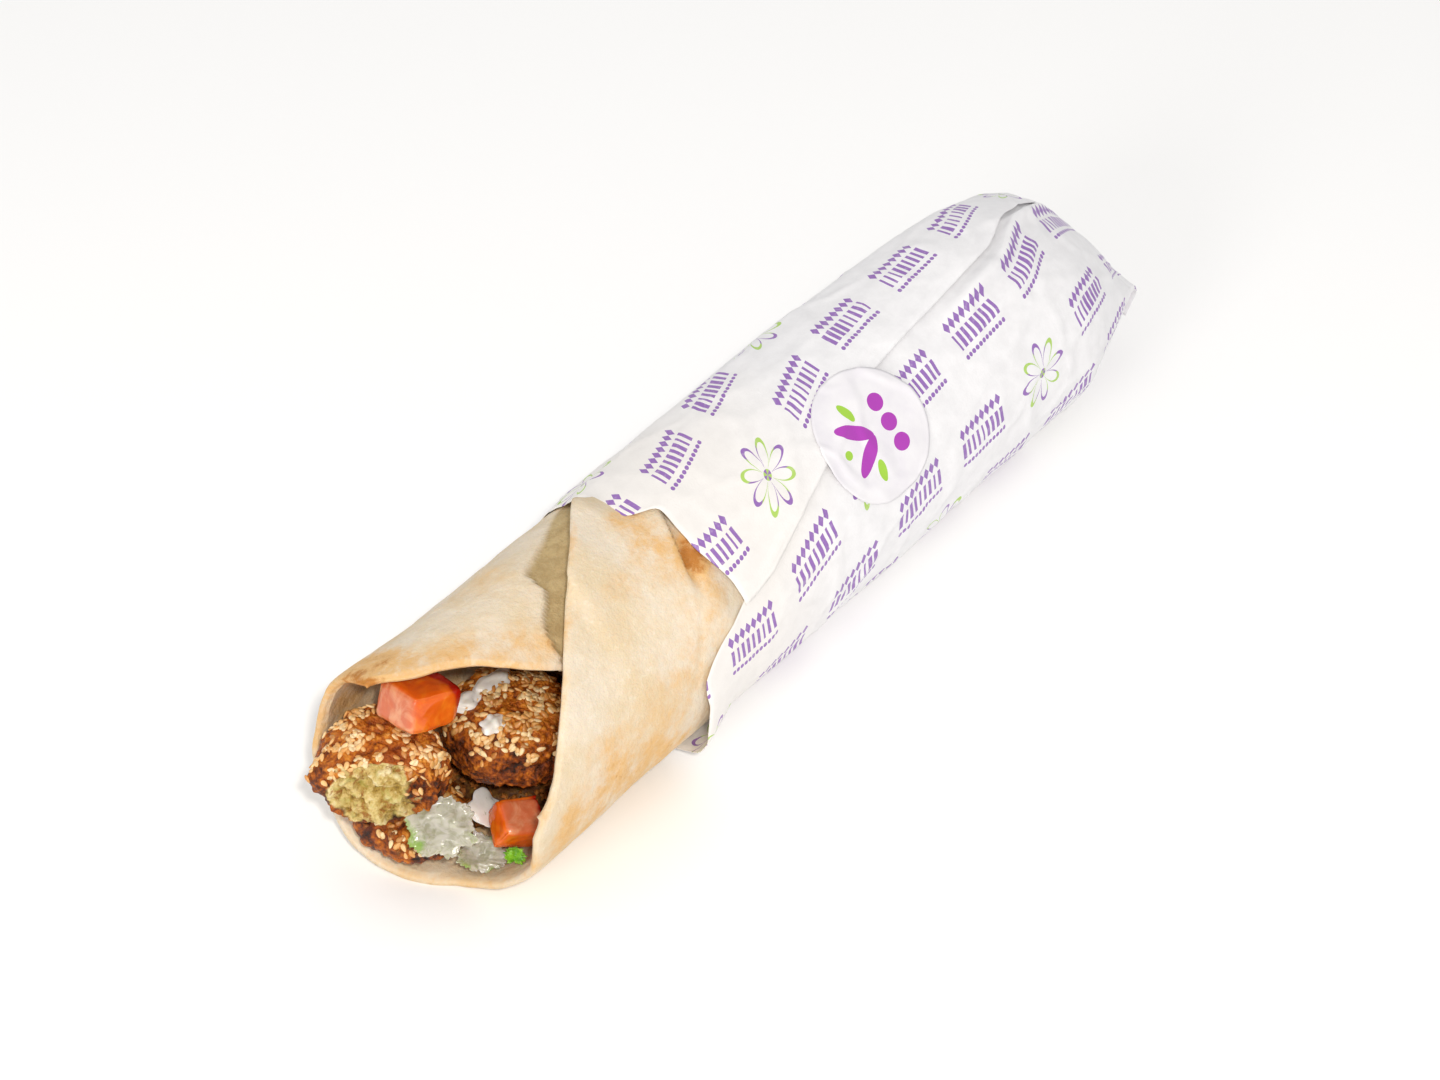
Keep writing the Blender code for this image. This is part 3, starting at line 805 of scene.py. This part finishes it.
def crumple(setback, angle):
    """Creases and dents of the paper, in millimetres, the same for every layer at a place."""
    spot = Vector((setback / 30, 0, 0)) + radial(angle) * 1.15
    low = 0.35 * noise.noise(spot * 1.3 + Vector((4, 4, 4)))
    near, far = noise.voronoi(spot * 1.9 + 0.35 * noise.noise_vector(spot * 2))[0][:2]
    ridge = 0.5 * (0.22 - min(0.22, far - near)) / 0.22
    fine = 0.10 * noise.noise(spot * 7)
    seam_gap = (angle - paper_seam(setback) + 180) % 360 - 180
    from_seam = arc(seam_gap, PAPER_FOLD_RADIUS)
    fold = 2.9 * bell(from_seam, 3.9, 2.0) * fade(224, 238, setback)
    shoulder = bell(from_seam, 10.5, 2.0) * fade(205, 220, setback)
    folds = (fold + shoulder) * smoothstep(168, 190, setback)
    pleats = 0.27 * (1 + math.sin(math.radians(angle) * 9 + 5.1 * noise.noise(spot * 2)))
    pleats *= smoothstep(200, 236, setback)
    calm = 1 - 0.6 * smoothstep(225, 242, setback)
    return (low + ridge + fine) * calm + folds + pleats


def paper_surface(setback, angle, turn):
    """Outer radius of the paper, where the turn is counted back from its seam."""
    layer = (PAPER_SOLID_THICKNESS + PAPER_GAP) * (1 - turn / 360)
    smooth = wrapped_surface(setback, angle) + PAPER_GAP + 0.1 + layer + PAPER_SOLID_THICKNESS
    return smooth - 0.3 + crumple(setback, angle) * lerp(0.45, 1, smoothstep(80, 104, setback))


def make_paper():
    """The wrapping paper, closed and folded down at its far end."""

    def shape(share_round, share_back):
        turn = PAPER_TURN * (1 - share_round)
        start = paper_front(PAPER_SEAM[0][1] - turn) + 0.7 * noise.noise(Vector((turn / 14, 3, 1)))
        share = min(1.0, share_back / (1 - HEM_SHARE))
        setback = lerp(start, PINCH_SETBACK, 1 - (1 - share) ** 1.3)
        hem = HEM_LENGTH * max(0.0, share_back - (1 - HEM_SHARE)) / HEM_SHARE
        angle = paper_seam(setback) - turn
        radius = paper_surface(setback, angle, turn)
        lip = fade(start, start + 14, setback)
        radius += PAPER_FLARE * bell(angle % 360, PAPER_FLARE_ANGLE, PAPER_FLARE_WIDTH) * lip
        waver = 0.3 * (0.4 + noise.noise(Vector((turn / 10, 8, 2))))
        radius += waver * fade(start, start + 4, setback)
        if turn < 20:
            radius += 0.25 * (1 - turn / 20)
        snug = smoothstep(40, 70, turn) * fade(190, 230, turn)
        radius -= 0.75 * snug * fade(start, start + 7, setback)
        point = raised(place(setback, angle, radius, hem), 0.0)
        round_way = arc(360 - turn, PAPER_FACE_RADIUS)
        over_bread = fade(start + 12, start + 60, setback)
        return on_table(point), (setback + hem, round_way), {"warm": over_bread * 0.8}

    rows, columns = ((150, 290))
    obj = sheet("wrapping_paper", columns, rows, shape, PAPER_THICKNESS, [PRINTED_PAPER], ("warm",))
    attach(obj, "root")
    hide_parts("paper")


def make_sticker():
    """The round sticker that holds the paper's seam down."""

    def shape(share_round, share_along):
        x = share_along * 2 - 1
        y = share_round * 2 - 1
        reach = max(abs(x), abs(y))
        length = math.hypot(x, y) or 1
        x, y = x * reach / length, y * reach / length
        setback = STICKER_SETBACK + STICKER_RADIUS * x
        angle = STICKER_ANGLE + math.degrees(STICKER_RADIUS * y / PAPER_FACE_RADIUS)
        past_seam = angle - paper_seam(setback)
        radius = paper_surface(setback, angle, (-past_seam) % 360)
        if past_seam > 0:
            radius += (PAPER_SOLID_THICKNESS + PAPER_GAP) * fade(0, 14, past_seam)
        point = place(setback, angle, radius + STICKER_LIFT + 0.12 * smoothstep(0.9, 1.0, reach))
        return on_table(point), (STICKER_RADIUS * x, STICKER_RADIUS * y), {}

    obj = sheet("seal_sticker", STICKER_CELLS, STICKER_CELLS, shape, STICKER_THICKNESS, [LABEL])
    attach(obj, "root")
    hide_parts("sticker")


# The falafel

PATTIES = {
    "falafel_right": {
        "radius": 15.4, "half_height": 9.0, "seed": 3, "crag": 1.0, "divisions": 7,
        "place": (36.7, -4.0, 2.9), "turns": (-2, 9, 0),
        "broken": None, "bare": (Vector((-10, 4, 6)), 2.5), "lumps": (),
    },
    "falafel_left": {
        "radius": 14.4, "half_height": 8.2, "seed": 8, "crag": 0.9, "divisions": 7,
        "place": (7.0, -5.5, -8.8), "turns": (6, -8, 0),
        "broken": (Vector((-0.72, -0.60, 0.35)), 7.0), "bare": (Vector((0.0, -4.5, 7)), 4.5),
        "lumps": ((Vector((-11.5, 9.0, 0.8)), 3.6, 0.8),),
    },
    "falafel_low": {
        "radius": 11.4, "half_height": 5.4, "seed": 5, "crag": 0.7, "divisions": 6,
        "place": (11.7, -17.2, 4.0), "turns": (8, -6, 0),
        "broken": None, "bare": (Vector((-9, 4, 3)), 3.0),
        "lumps": ((Vector((-5.4, 6.5, 0.0)), 6.3, 0.65),),
    },
}
PATTY_MARKS = ("crumb", "height", "seeded", "wall_shade", "bare")


def piece_matrix(spot, turns):
    """Where a piece lies: its setback, its distances to the notch's and the flap's side, its turns."""
    setback, near, side = spot
    middle = TILT @ Vector((setback - LENGTH / 2, -side, near)) + Vector((0, 0, AXIS_HEIGHT))
    rotation = Matrix.Identity(4)
    for axis, turn in zip("XYZ", turns):
        rotation = Matrix.Rotation(math.radians(turn), 4, axis) @ rotation
    return Matrix.Translation(middle * MM) @ rotation @ Matrix.Scale(MM, 4)


def patty_radius(direction, radius, half_height, seed, crag):
    """How far the crust of a flattened, craggy ball lies from its middle in this direction."""
    flat = math.hypot(direction.x, direction.y)
    squareness = 2.7
    shape = (flat / radius) ** squareness + (abs(direction.z) / half_height) ** squareness
    shape = shape ** (-1 / squareness)
    shift = Vector((seed * 3.7, seed * 1.9, seed * 5.3))
    coarse = noise.noise(direction * 2.1 + shift)
    fine = noise.noise(direction * 5.5 + shift)
    return shape + crag * (coarse + 0.6 * fine)


def crust_relief(point, seed):
    """Crumbs and pits of the crust in mm: rounded lumps of three sizes with cracks between."""
    shift = Vector((seed, seed * 2, 0))
    lumps = noise.voronoi(point / 3.4 + shift)[0][0]
    grit = noise.voronoi(point / 1.5 + shift)[0][0]
    rough = noise.noise(point / 2.2 + shift) + 0.5 * noise.noise(point / 0.9 + shift)
    tiny = noise.voronoi(point / 0.85 + shift)[0][0]
    return 0.55 * (0.45 - lumps) + 0.6 * (0.42 - grit) + 0.32 * (0.42 - tiny) + 0.35 * rough


def lumped(point, direction, lumps):
    """The point, pushed out where lumps of crust have fused on."""
    for middle, size, height_share in lumps:
        reach = (size, size * 0.75, size * height_share)
        gap = Vector([away / most for away, most in zip(point - middle, reach)]).length
        point = point + direction * max(0.0, 1.7 - gap) * size * 0.42
    return point


def broken_open(point, facing, distance, seed):
    """The point, drawn back to the broken face at this distance, and how far it is open there."""
    beyond = point.dot(facing) - distance
    if beyond <= 0:
        return point, 0.0
    hollow = 2.0 * noise.noise(point / 4.5 + Vector((seed, 0, 0))) + 0.9 * noise.noise(point / 1.9)
    point = point - facing * (beyond * 0.95 - (hollow - 0.3) * min(1.0, beyond / 2))
    ragged = 3.0 * noise.noise(point / 3.4) + 1.8 * noise.noise(point / 1.3)
    sideways = point.x * 0.64 - point.y * 0.77
    closed = smoothstep(6.0, 7.0, sideways + ragged)
    return point, smoothstep(0.5, 1.4, beyond + ragged) * (1 - closed)


def make_patty(name):
    """One fried falafel, with lumps of crust fused on and, if it is broken, its soft inside."""
    facts = PATTIES[name]
    seed = facts["seed"]
    bare_middle, bare_size = facts["bare"]
    divisions = facts["divisions"]
    body = bmesh.new()
    bmesh.ops.create_icosphere(body, subdivisions=divisions, radius=1)
    layers = [body.verts.layers.float.new(mark_name) for mark_name in PATTY_MARKS]
    for vert in body.verts:
        direction = vert.co.normalized()
        reach = patty_radius(direction, facts["radius"], facts["half_height"], seed, facts["crag"])
        point = lumped(direction * reach, direction, facts["lumps"])
        open_share = 0.0
        if facts["broken"]:
            point, open_share = broken_open(point, *facts["broken"], seed)
        bumps = crust_relief(point, seed)
        if open_share > 0:
            crumbs = noise.voronoi(point / 2.1 + Vector((7, 0, 0)))[0][0]
            bumps += open_share * (0.9 * noise.noise(point / 2.6) + 0.9 * (0.4 - crumbs) - 0.2)
        vert.co = point + direction * bumps
        from_bare = (point - bare_middle).length / bare_size + 0.3 * noise.noise(point / 2)
        bare = 0.8 * fade(0.6, 1.1, from_bare)
        clusters = smoothstep(-0.2, 0.1, noise.noise(point / 5 + Vector((0, seed, 0)))) * (1 - bare)
        seeded = smoothstep(0.05, 0.45, direction.z) * (1 - open_share) * (0.10 + 0.90 * clusters)
        # Share of side darkening: partly plainer crust, partly painted shade where the crust faces away
        # from the light above.
        wall_shade = fade(0.15, 0.55, direction.z)
        for layer, value in zip(layers, (open_share, 0.5 + bumps * 0.5, seeded, wall_shade, bare)):
            vert[layer] = value
    bmesh.ops.transform(body, matrix=piece_matrix(facts["place"], facts["turns"]), verts=body.verts)
    obj = object_from(name + "_crust", body, [CRUST])
    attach(obj, "root")
    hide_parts(name)
    return obj


# Sesame seeds and crumbs, scattered by geometry nodes

GREATEST_LEAN = 0.35
SEED_DENSITIES = (0.85, 0.95, 0.6)
SEED_SIZES = (0.5, 0.72)


def scatter_tree(name):
    """A tree that scatters one small piece over a surface, more of it where the surface's seeded
    attribute is high, each spun and leant at random, in radians."""
    tree = bpy.data.node_groups.new(name, "GeometryNodeTree")
    for title, kind in (
        ("Surface", "Geometry"), ("Piece", "Object"), ("Per square metre", "Float"),
        ("Least size", "Float"), ("Greatest size", "Float"), ("Seed", "Int"), ("Finish", "Material"),
    ):
        tree.interface.new_socket(title, in_out="INPUT", socket_type="NodeSocket" + kind)
    tree.interface.new_socket("Pieces", in_out="OUTPUT", socket_type="NodeSocketGeometry")
    given = tree.nodes.new("NodeGroupInput").outputs
    fixed = given["Seed"]
    number = ("data_type", "FLOAT")
    weight = add(tree, "GeometryNodeInputNamedAttribute", [number, ("Name", "seeded")])
    density = add(
        tree, "ShaderNodeMath", [("operation", "MULTIPLY")],
        s0=given["Per square metre"], s1=weight,
    )
    points = add(
        tree, "GeometryNodeDistributePointsOnFaces",
        Mesh=given["Surface"], Density=density, Seed=fixed,
    )
    info = add(tree, "GeometryNodeObjectInfo", Object=given["Piece"])
    spin = add(tree, "FunctionNodeRandomValue", [number, (3, 2 * math.pi)], Seed=fixed)
    leaning = [number, ("ID", 1), (2, -GREATEST_LEAN), (3, GREATEST_LEAN)]
    lean = add(tree, "FunctionNodeRandomValue", leaning, Seed=fixed)
    turn = add(tree, "ShaderNodeCombineXYZ", s0=lean.outputs[1], s2=spin.outputs[1])
    local = add(tree, "FunctionNodeEulerToRotation", s0=turn)
    rotate = add(
        tree, "FunctionNodeRotateRotation", [("rotation_space", "LOCAL")],
        s0=points.outputs["Rotation"], s1=local,
    )
    size = add(
        tree, "FunctionNodeRandomValue", [number],
        s2=given["Least size"], s3=given["Greatest size"], Seed=fixed,
    )
    placed = add(
        tree, "GeometryNodeInstanceOnPoints",
        Points=points, Instance=info.outputs["Geometry"], Rotation=rotate, Scale=size.outputs[1],
    )
    tone = add(tree, "FunctionNodeRandomValue", [number])
    toned = add(
        tree, "GeometryNodeStoreNamedAttribute", [number, ("domain", "INSTANCE"), ("Name", "tone")],
        Geometry=placed, Value=tone.outputs[1],
    )
    real = add(tree, "GeometryNodeRealizeInstances", Geometry=toned)
    finish = add(tree, "GeometryNodeSetMaterial", Geometry=real, Material=given["Finish"])
    out = tree.nodes.new("NodeGroupOutput")
    tree.links.new(finish.outputs[0], out.inputs[0])
    return tree


def scatter(tree, surface, piece, per_square_metre, sizes, seed, finish, name):
    """Scatter a piece over a surface and give the result as an object of its own."""
    holder = bpy.data.objects.new(name, surface.data.copy())
    bpy.context.scene.collection.objects.link(holder)
    modifier = holder.modifiers.new("scatter", "NODES")
    modifier.node_group = tree
    values = {
        "Piece": piece, "Per square metre": per_square_metre, "Least size": sizes[0],
        "Greatest size": sizes[1], "Seed": seed, "Finish": finish,
    }
    for item in tree.interface.items_tree:
        if item.in_out == "INPUT" and item.name in values:
            modifier[item.identifier] = values[item.name]
    return settle(holder)


def join(name, parts):
    """Join several objects into one."""
    body = bmesh.new()
    materials = []
    for part in parts:
        for material in part.data.materials:
            if material not in materials:
                materials.append(material)
        body.from_mesh(part.data)
        bpy.data.objects.remove(part)
    return object_from(name, body, materials)


def seed_shape():
    """A sesame seed: a flat drop 3.24 mm long, round its own middle, which is scaled down later."""
    half_width, half_length, half_depth, lift = 0.95, 1.62, 0.52, 0.22
    body = bmesh.new()
    bmesh.ops.create_uvsphere(body, u_segments=10, v_segments=7, radius=1)
    for vert in body.verts:
        x, y, z = vert.co
        taper = 1 - 0.30 * z - 0.08 * z**2
        vert.co = Vector((x * half_width * taper, z * half_length, y * half_depth * taper + lift)) * MM
    bmesh.ops.recalc_face_normals(body, faces=body.faces)
    return object_from("seed_model", body, [SESAME])


def crumb_shape():
    """A crumb of falafel, about 1 mm across."""
    body = bmesh.new()
    bmesh.ops.create_icosphere(body, subdivisions=2, radius=1)
    for vert in body.verts:
        vert.co *= (1 + 1.1 * noise.noise(vert.co * 1.9 + Vector((2, 7, 1)))) * 0.55 * MM
    crumb = body.verts.layers.float.new("crumb")
    height = body.verts.layers.float.new("height")
    for vert in body.verts:
        vert[crumb] = 0.1
        vert[height] = 0.4
    return object_from("crumb_model", body, [CRUST])


def make_crumbs(tree, core, low_crust):
    """Loose crumbs on the filling and on the lowest falafel."""
    model = crumb_shape()
    parts = [
        scatter(tree, core, model, 0.16 / MM**2, (0.5, 2.2), 31, CRUST, "crumbs"),
        scatter(tree, low_crust, model, 0.12 / MM**2, (0.6, 1.5), 32, CRUST, "crumbs"),
    ]
    crumbs = join("falafel_crumbs", parts)
    bpy.data.objects.remove(model)
    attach(crumbs, "root")


def make_seeds(tree, crusts):
    """Sesame seeds on the falafel, with so many on each square millimetre of its crust."""
    model = seed_shape()
    parts = []
    for seed, (crust, density) in enumerate(zip(crusts, SEED_DENSITIES), start=11):
        parts.append(scatter(tree, crust, model, density / MM**2, SEED_SIZES, seed, SESAME, "seeds"))
    seeds = join("sesame_seeds", parts)
    bpy.data.objects.remove(model)
    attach(seeds, "root")


# Tomato, lettuce and herb

TOMATO_CUTS = 31


def make_tomato(name, size, seed, spot, turns, skin_side, pale_side):
    """A chopped piece of tomato: a rounded block with uneven sides."""
    body = bmesh.new()
    bmesh.ops.create_cube(body, size=1)
    rng = random.Random(seed)
    for vert in body.verts:
        vert.co = Vector([c * s * rng.uniform(0.8, 1.0) for c, s in zip(vert.co, size)])
    bmesh.ops.subdivide_edges(body, edges=body.edges, cuts=TOMATO_CUTS, use_grid_fill=True)
    skin = body.verts.layers.float.new("skin")
    pale = body.verts.layers.float.new("pale")
    half = Vector(size) / 2
    for vert in body.verts:
        unit = Vector([c / h for c, h in zip(vert.co, half)])
        squareness = 7.0
        reach = sum(abs(c) ** squareness for c in unit) ** (1 / squareness)
        most = max(abs(c) for c in unit)
        point = vert.co * (most / reach if reach else 1)
        facing = Vector([abs(c) ** 4 * math.copysign(1, c) for c in unit]).normalized()
        uneven = 0.35 * noise.noise(point / 5 + Vector((seed, 0, 0))) + 0.12 * noise.noise(point / 1.6)
        point += facing * uneven
        vert[skin] = smoothstep(0.55, 0.75, unit.dot(skin_side) + 0.15 * noise.noise(point / 2))
        vert[pale] = smoothstep(0.35, 0.9, facing.dot(pale_side))
        vert.co = point
    bmesh.ops.transform(body, matrix=piece_matrix(spot, turns), verts=body.verts)
    bmesh.ops.recalc_face_normals(body, faces=body.faces)
    obj = object_from(name + "_flesh", body, [TOMATO])
    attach(obj, "root")
    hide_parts(name)


def make_leaf(
    name, size, seed, wave, spot, turns, material, cells=48, fine_wave=0.28, tear=1.0,
):
    """A torn, wavy piece of leaf of this length, width and thickness, which is thin at its rim."""
    length, width, thickness = size
    shift = Vector((seed * 2.3, seed * 7.1, 0))
    matrix = piece_matrix(spot, turns)

    def disc(share_long, share_wide):
        x = share_long * 2 - 1
        y = share_wide * 2 - 1
        reach = max(abs(x), abs(y))
        distance = math.hypot(x, y) or 1
        return x * reach / distance, y * reach / distance, reach

    def shape(share_long, share_wide):
        x, y, reach = disc(share_long, share_wide)
        turn = Vector((x, y, 0)).normalized() if reach > 0 else Vector((1, 0, 0))
        ragged = 1 + 0.28 * noise.noise(turn * 1.6 + shift) * reach
        torn = 0.16 * noise.noise(turn * 5 + shift) + 0.12 * noise.noise(turn * 12 + shift)
        ragged += tear * torn * reach**3
        height = wave * noise.noise(Vector((x * 1.5, y * 1.5, 0)) + shift) + wave * 0.5 * x * x
        height += fine_wave * noise.noise(Vector((x * 1.6, y * 7.5, 1)) + shift) * (0.5 + 0.6 * reach)
        point = Vector((x * length / 2 * ragged, y * width / 2 * ragged, height))
        rim = reach * (0.75 + 0.75 * noise.noise(turn * 1.2 + shift))
        return matrix @ point, (x, y), {"rim": rim}

    def thin(share_long, share_wide):
        reach = disc(share_long, share_wide)[2]
        return 1 - 0.8 * smoothstep(0.45, 1.0, reach)

    obj = sheet(name + "_piece", cells, cells, shape, thickness, [material], ("rim",), thin)
    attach(obj, "root")
    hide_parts(name)


def make_core():
    """The filling that runs on behind the pieces in the mouth, to the closed end."""
    body = bmesh.new()
    bmesh.ops.create_uvsphere(body, u_segments=120, v_segments=110, radius=1)
    seeded = body.verts.layers.float.new("seeded")
    for vert in body.verts:
        share = math.acos(max(-1.0, min(1.0, vert.co.z))) / math.pi
        angle = math.degrees(math.atan2(-vert.co.y, vert.co.x))
        reach = min(1.0, share / CORE_FRONT_SHARE)
        flat = radial(angle) * CORE_RADIUS * reach
        height = flat.dot(WORLD_UP)
        across = (TILT @ flat).y
        low_front = lerp(CORE_FRONT_LOW_BY_FLAP, CORE_FRONT_LOW, smoothstep(-7, -1, across))
        front = lerp(low_front, CORE_FRONT_HIGH, smoothstep(-21, -16.5, height)) + noise.noise(flat / 5)
        back = max(0.0, (share - CORE_FRONT_SHARE) / (1 - CORE_FRONT_SHARE))
        setback = lerp(front, CORE_END, back)
        tail = 1 - 0.06 * smoothstep(0.5, 0.85, back) - 0.94 * smoothstep(0.88, 1.0, back)
        radius = CORE_RADIUS * reach * tail
        point = place(setback, angle, radius) if back > 0 else Vector((setback, 0, 0)) + flat
        if share > 0.01:
            lumps = noise.voronoi(point / 4.5)[0][0]
            point.x += (0.6 - lumps) * 1.6 * fade(0.02, 0.1, back)
        vert[seeded] = fade(0.0, 0.04, back)
        vert.co = on_table(point)
    bmesh.ops.recalc_face_normals(body, faces=body.faces)
    obj = object_from("filling_core", body, [FILLING])
    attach(obj, "root")
    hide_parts("filling")
    return obj


def make_sauce():
    """Drops and smears of tahini sauce on the right falafel and between the pieces."""
    right = piece_matrix(PATTIES["falafel_right"]["place"], PATTIES["falafel_right"]["turns"])
    below = piece_matrix((21.5, -9.6, 12.6), (36, 24, 0))
    drops = (
        # matrix, middle, half sizes, seed
        (right, Vector((0.0, 6.8, 8.5)), (6.0, 2.7, 1.5), 1),
        (right, Vector((-9.2, -2.2, 8.0)), (3.0, 2.5, 1.5), 2),
        (right, Vector((-7.5, 7.2, 7.6)), (3.4, 2.6, 1.6), 3),
        (below, Vector((0, 0, 0)), (4.8, 4.0, 0.8), 4),
    )
    body = bmesh.new()
    for matrix, middle, half, seed in drops:
        made = bmesh.ops.create_icosphere(body, subdivisions=5, radius=1)["verts"]
        for vert in made:
            direction = vert.co.copy()
            swell = 1 + 0.45 * noise.noise(direction * 1.3 + Vector((seed * 5, 0, 0)))
            local = Vector([d * h * swell for d, h in zip(direction, half)]) + middle
            vert.co = matrix @ local
    obj = object_from("tahini_drops", body, [SAUCE])
    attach(obj, "root")


# Camera, floor and light

def set_stage():
    """A pale floor, a key light and a softer fill from the mouth's end, and an even, bright room."""
    body = bmesh.new()
    bmesh.ops.create_grid(body, x_segments=1, y_segments=1, size=FLOOR_SIZE)
    material, shader = new_material("pale table", 0.6, 0.3)[:2]
    shader.inputs["Base Color"].default_value = linear("#FBFBFB")
    floor = object_from("floor", body, [material])

    world = bpy.data.worlds.new("bright room")
    world.use_nodes = True
    sky = world.node_tree.nodes["Background"]
    sky.inputs["Color"].default_value = linear("#FFFFFF")
    sky.inputs["Strength"].default_value = ROOM_BRIGHTNESS
    bpy.context.scene.world = world

    for name, towards, size, power, colour in (
        ("key", KEY_DIRECTION, 0.06, 5.6, "#FFFAF3"),
        ("fill", FILL_DIRECTION, 0.35, 2.4, "#FFFCF7"),
    ):
        light = bpy.data.lights.new(name, "AREA")
        light.shape = "DISK"
        light.size = size
        light.energy = power
        light.color = linear(colour)[:3]
        lamp = bpy.data.objects.new(name, light)
        direction = towards.normalized()
        lamp.location = LIGHT_TARGET + direction * LIGHT_DISTANCE
        lamp.rotation_euler = direction.to_track_quat("Z", "Y").to_euler()
        bpy.context.scene.collection.objects.link(lamp)


def set_camera():
    """The camera stands above the table before the mouth's corner and looks down at 45 degrees."""
    azimuth, elevation = math.radians(CAMERA_AZIMUTH), math.radians(CAMERA_ELEVATION)
    right = Vector((math.cos(azimuth), math.sin(azimuth), 0))
    level = Vector((math.sin(azimuth), -math.cos(azimuth), 0))
    back = level * math.cos(elevation) + Vector((0, 0, math.sin(elevation)))
    turned = Matrix((right, back.cross(right), back)).transposed().to_4x4()
    target = Vector((CAMERA_TARGET_X, 0, AXIS_HEIGHT * MM))
    lens = bpy.data.cameras.new("camera")
    lens.sensor_width = SENSOR_WIDTH
    lens.lens = FOCAL_PIXELS * SENSOR_WIDTH / PHOTO_WIDTH
    lens.clip_start = 0.01
    lens.shift_x, lens.shift_y = (shift / PHOTO_WIDTH for shift in PHOTO_CENTRE_SHIFT)
    camera = bpy.data.objects.new("camera", lens)
    camera.matrix_world = Matrix.Translation(target + back * CAMERA_DISTANCE) @ turned
    bpy.context.scene.collection.objects.link(camera)
    bpy.context.scene.camera = camera


FLATBREAD = baked_flatbread()
PRINTED_PAPER = greaseproof_paper()
LABEL = label_paper()
CRUST = fried_crust()
SESAME = toasted_sesame()
TOMATO = cut_tomato()
LETTUCE = lettuce_rib()
HERB = fresh_herb()
SAUCE = tahini_sauce()
FILLING = moist_filling()

set_camera()
make_bread()
make_paper()
make_sticker()
filling = make_core()
crusts = [make_patty(name) for name in ("falafel_right", "falafel_left", "falafel_low")]
scattering = scatter_tree("scatter over a surface")
make_seeds(scattering, crusts)
make_crumbs(scattering, filling, crusts[2])
make_tomato(
    "tomato_top", (14.4, 14.8, 10.2), 4, (15.8, 10.0, -14.4), (-12, 18, -12),
    skin_side=Vector((0.8, 0.0, 0.25)), pale_side=Vector((-1.0, 0.1, 0.0)),
)
make_tomato(
    "tomato_side", (12.0, 10.0, 9.0), 7, (22.8, -4.6, 19.2), (20, 18, -28),
    skin_side=Vector((0.85, 0.2, 0.0)), pale_side=Vector((0.3, -0.2, 0.9)),
)
make_leaf(
    "lettuce_heart", (15.0, 13.4, 1.3), 2, 2.2, (6.9, -2.0, 9.6), (52, 6, -50), LETTUCE,
)
make_leaf(
    "lettuce_shred", (10.2, 8.6, 1.0), 6, 1.8, (15.4, -11.9, 19.6), (36, 14, -50), LETTUCE,
    fine_wave=0.25, tear=1.4,
)
make_leaf(
    "herb_leaf", (4.6, 3.6, 0.7), 9, 1.2, (18.2, -6.2, 24.6), (60, 0, -50), HERB,
    cells=24, fine_wave=0.3, tear=2.5,
)
make_sauce()
set_stage()

bpy.context.scene.view_settings.view_transform = "Standard"
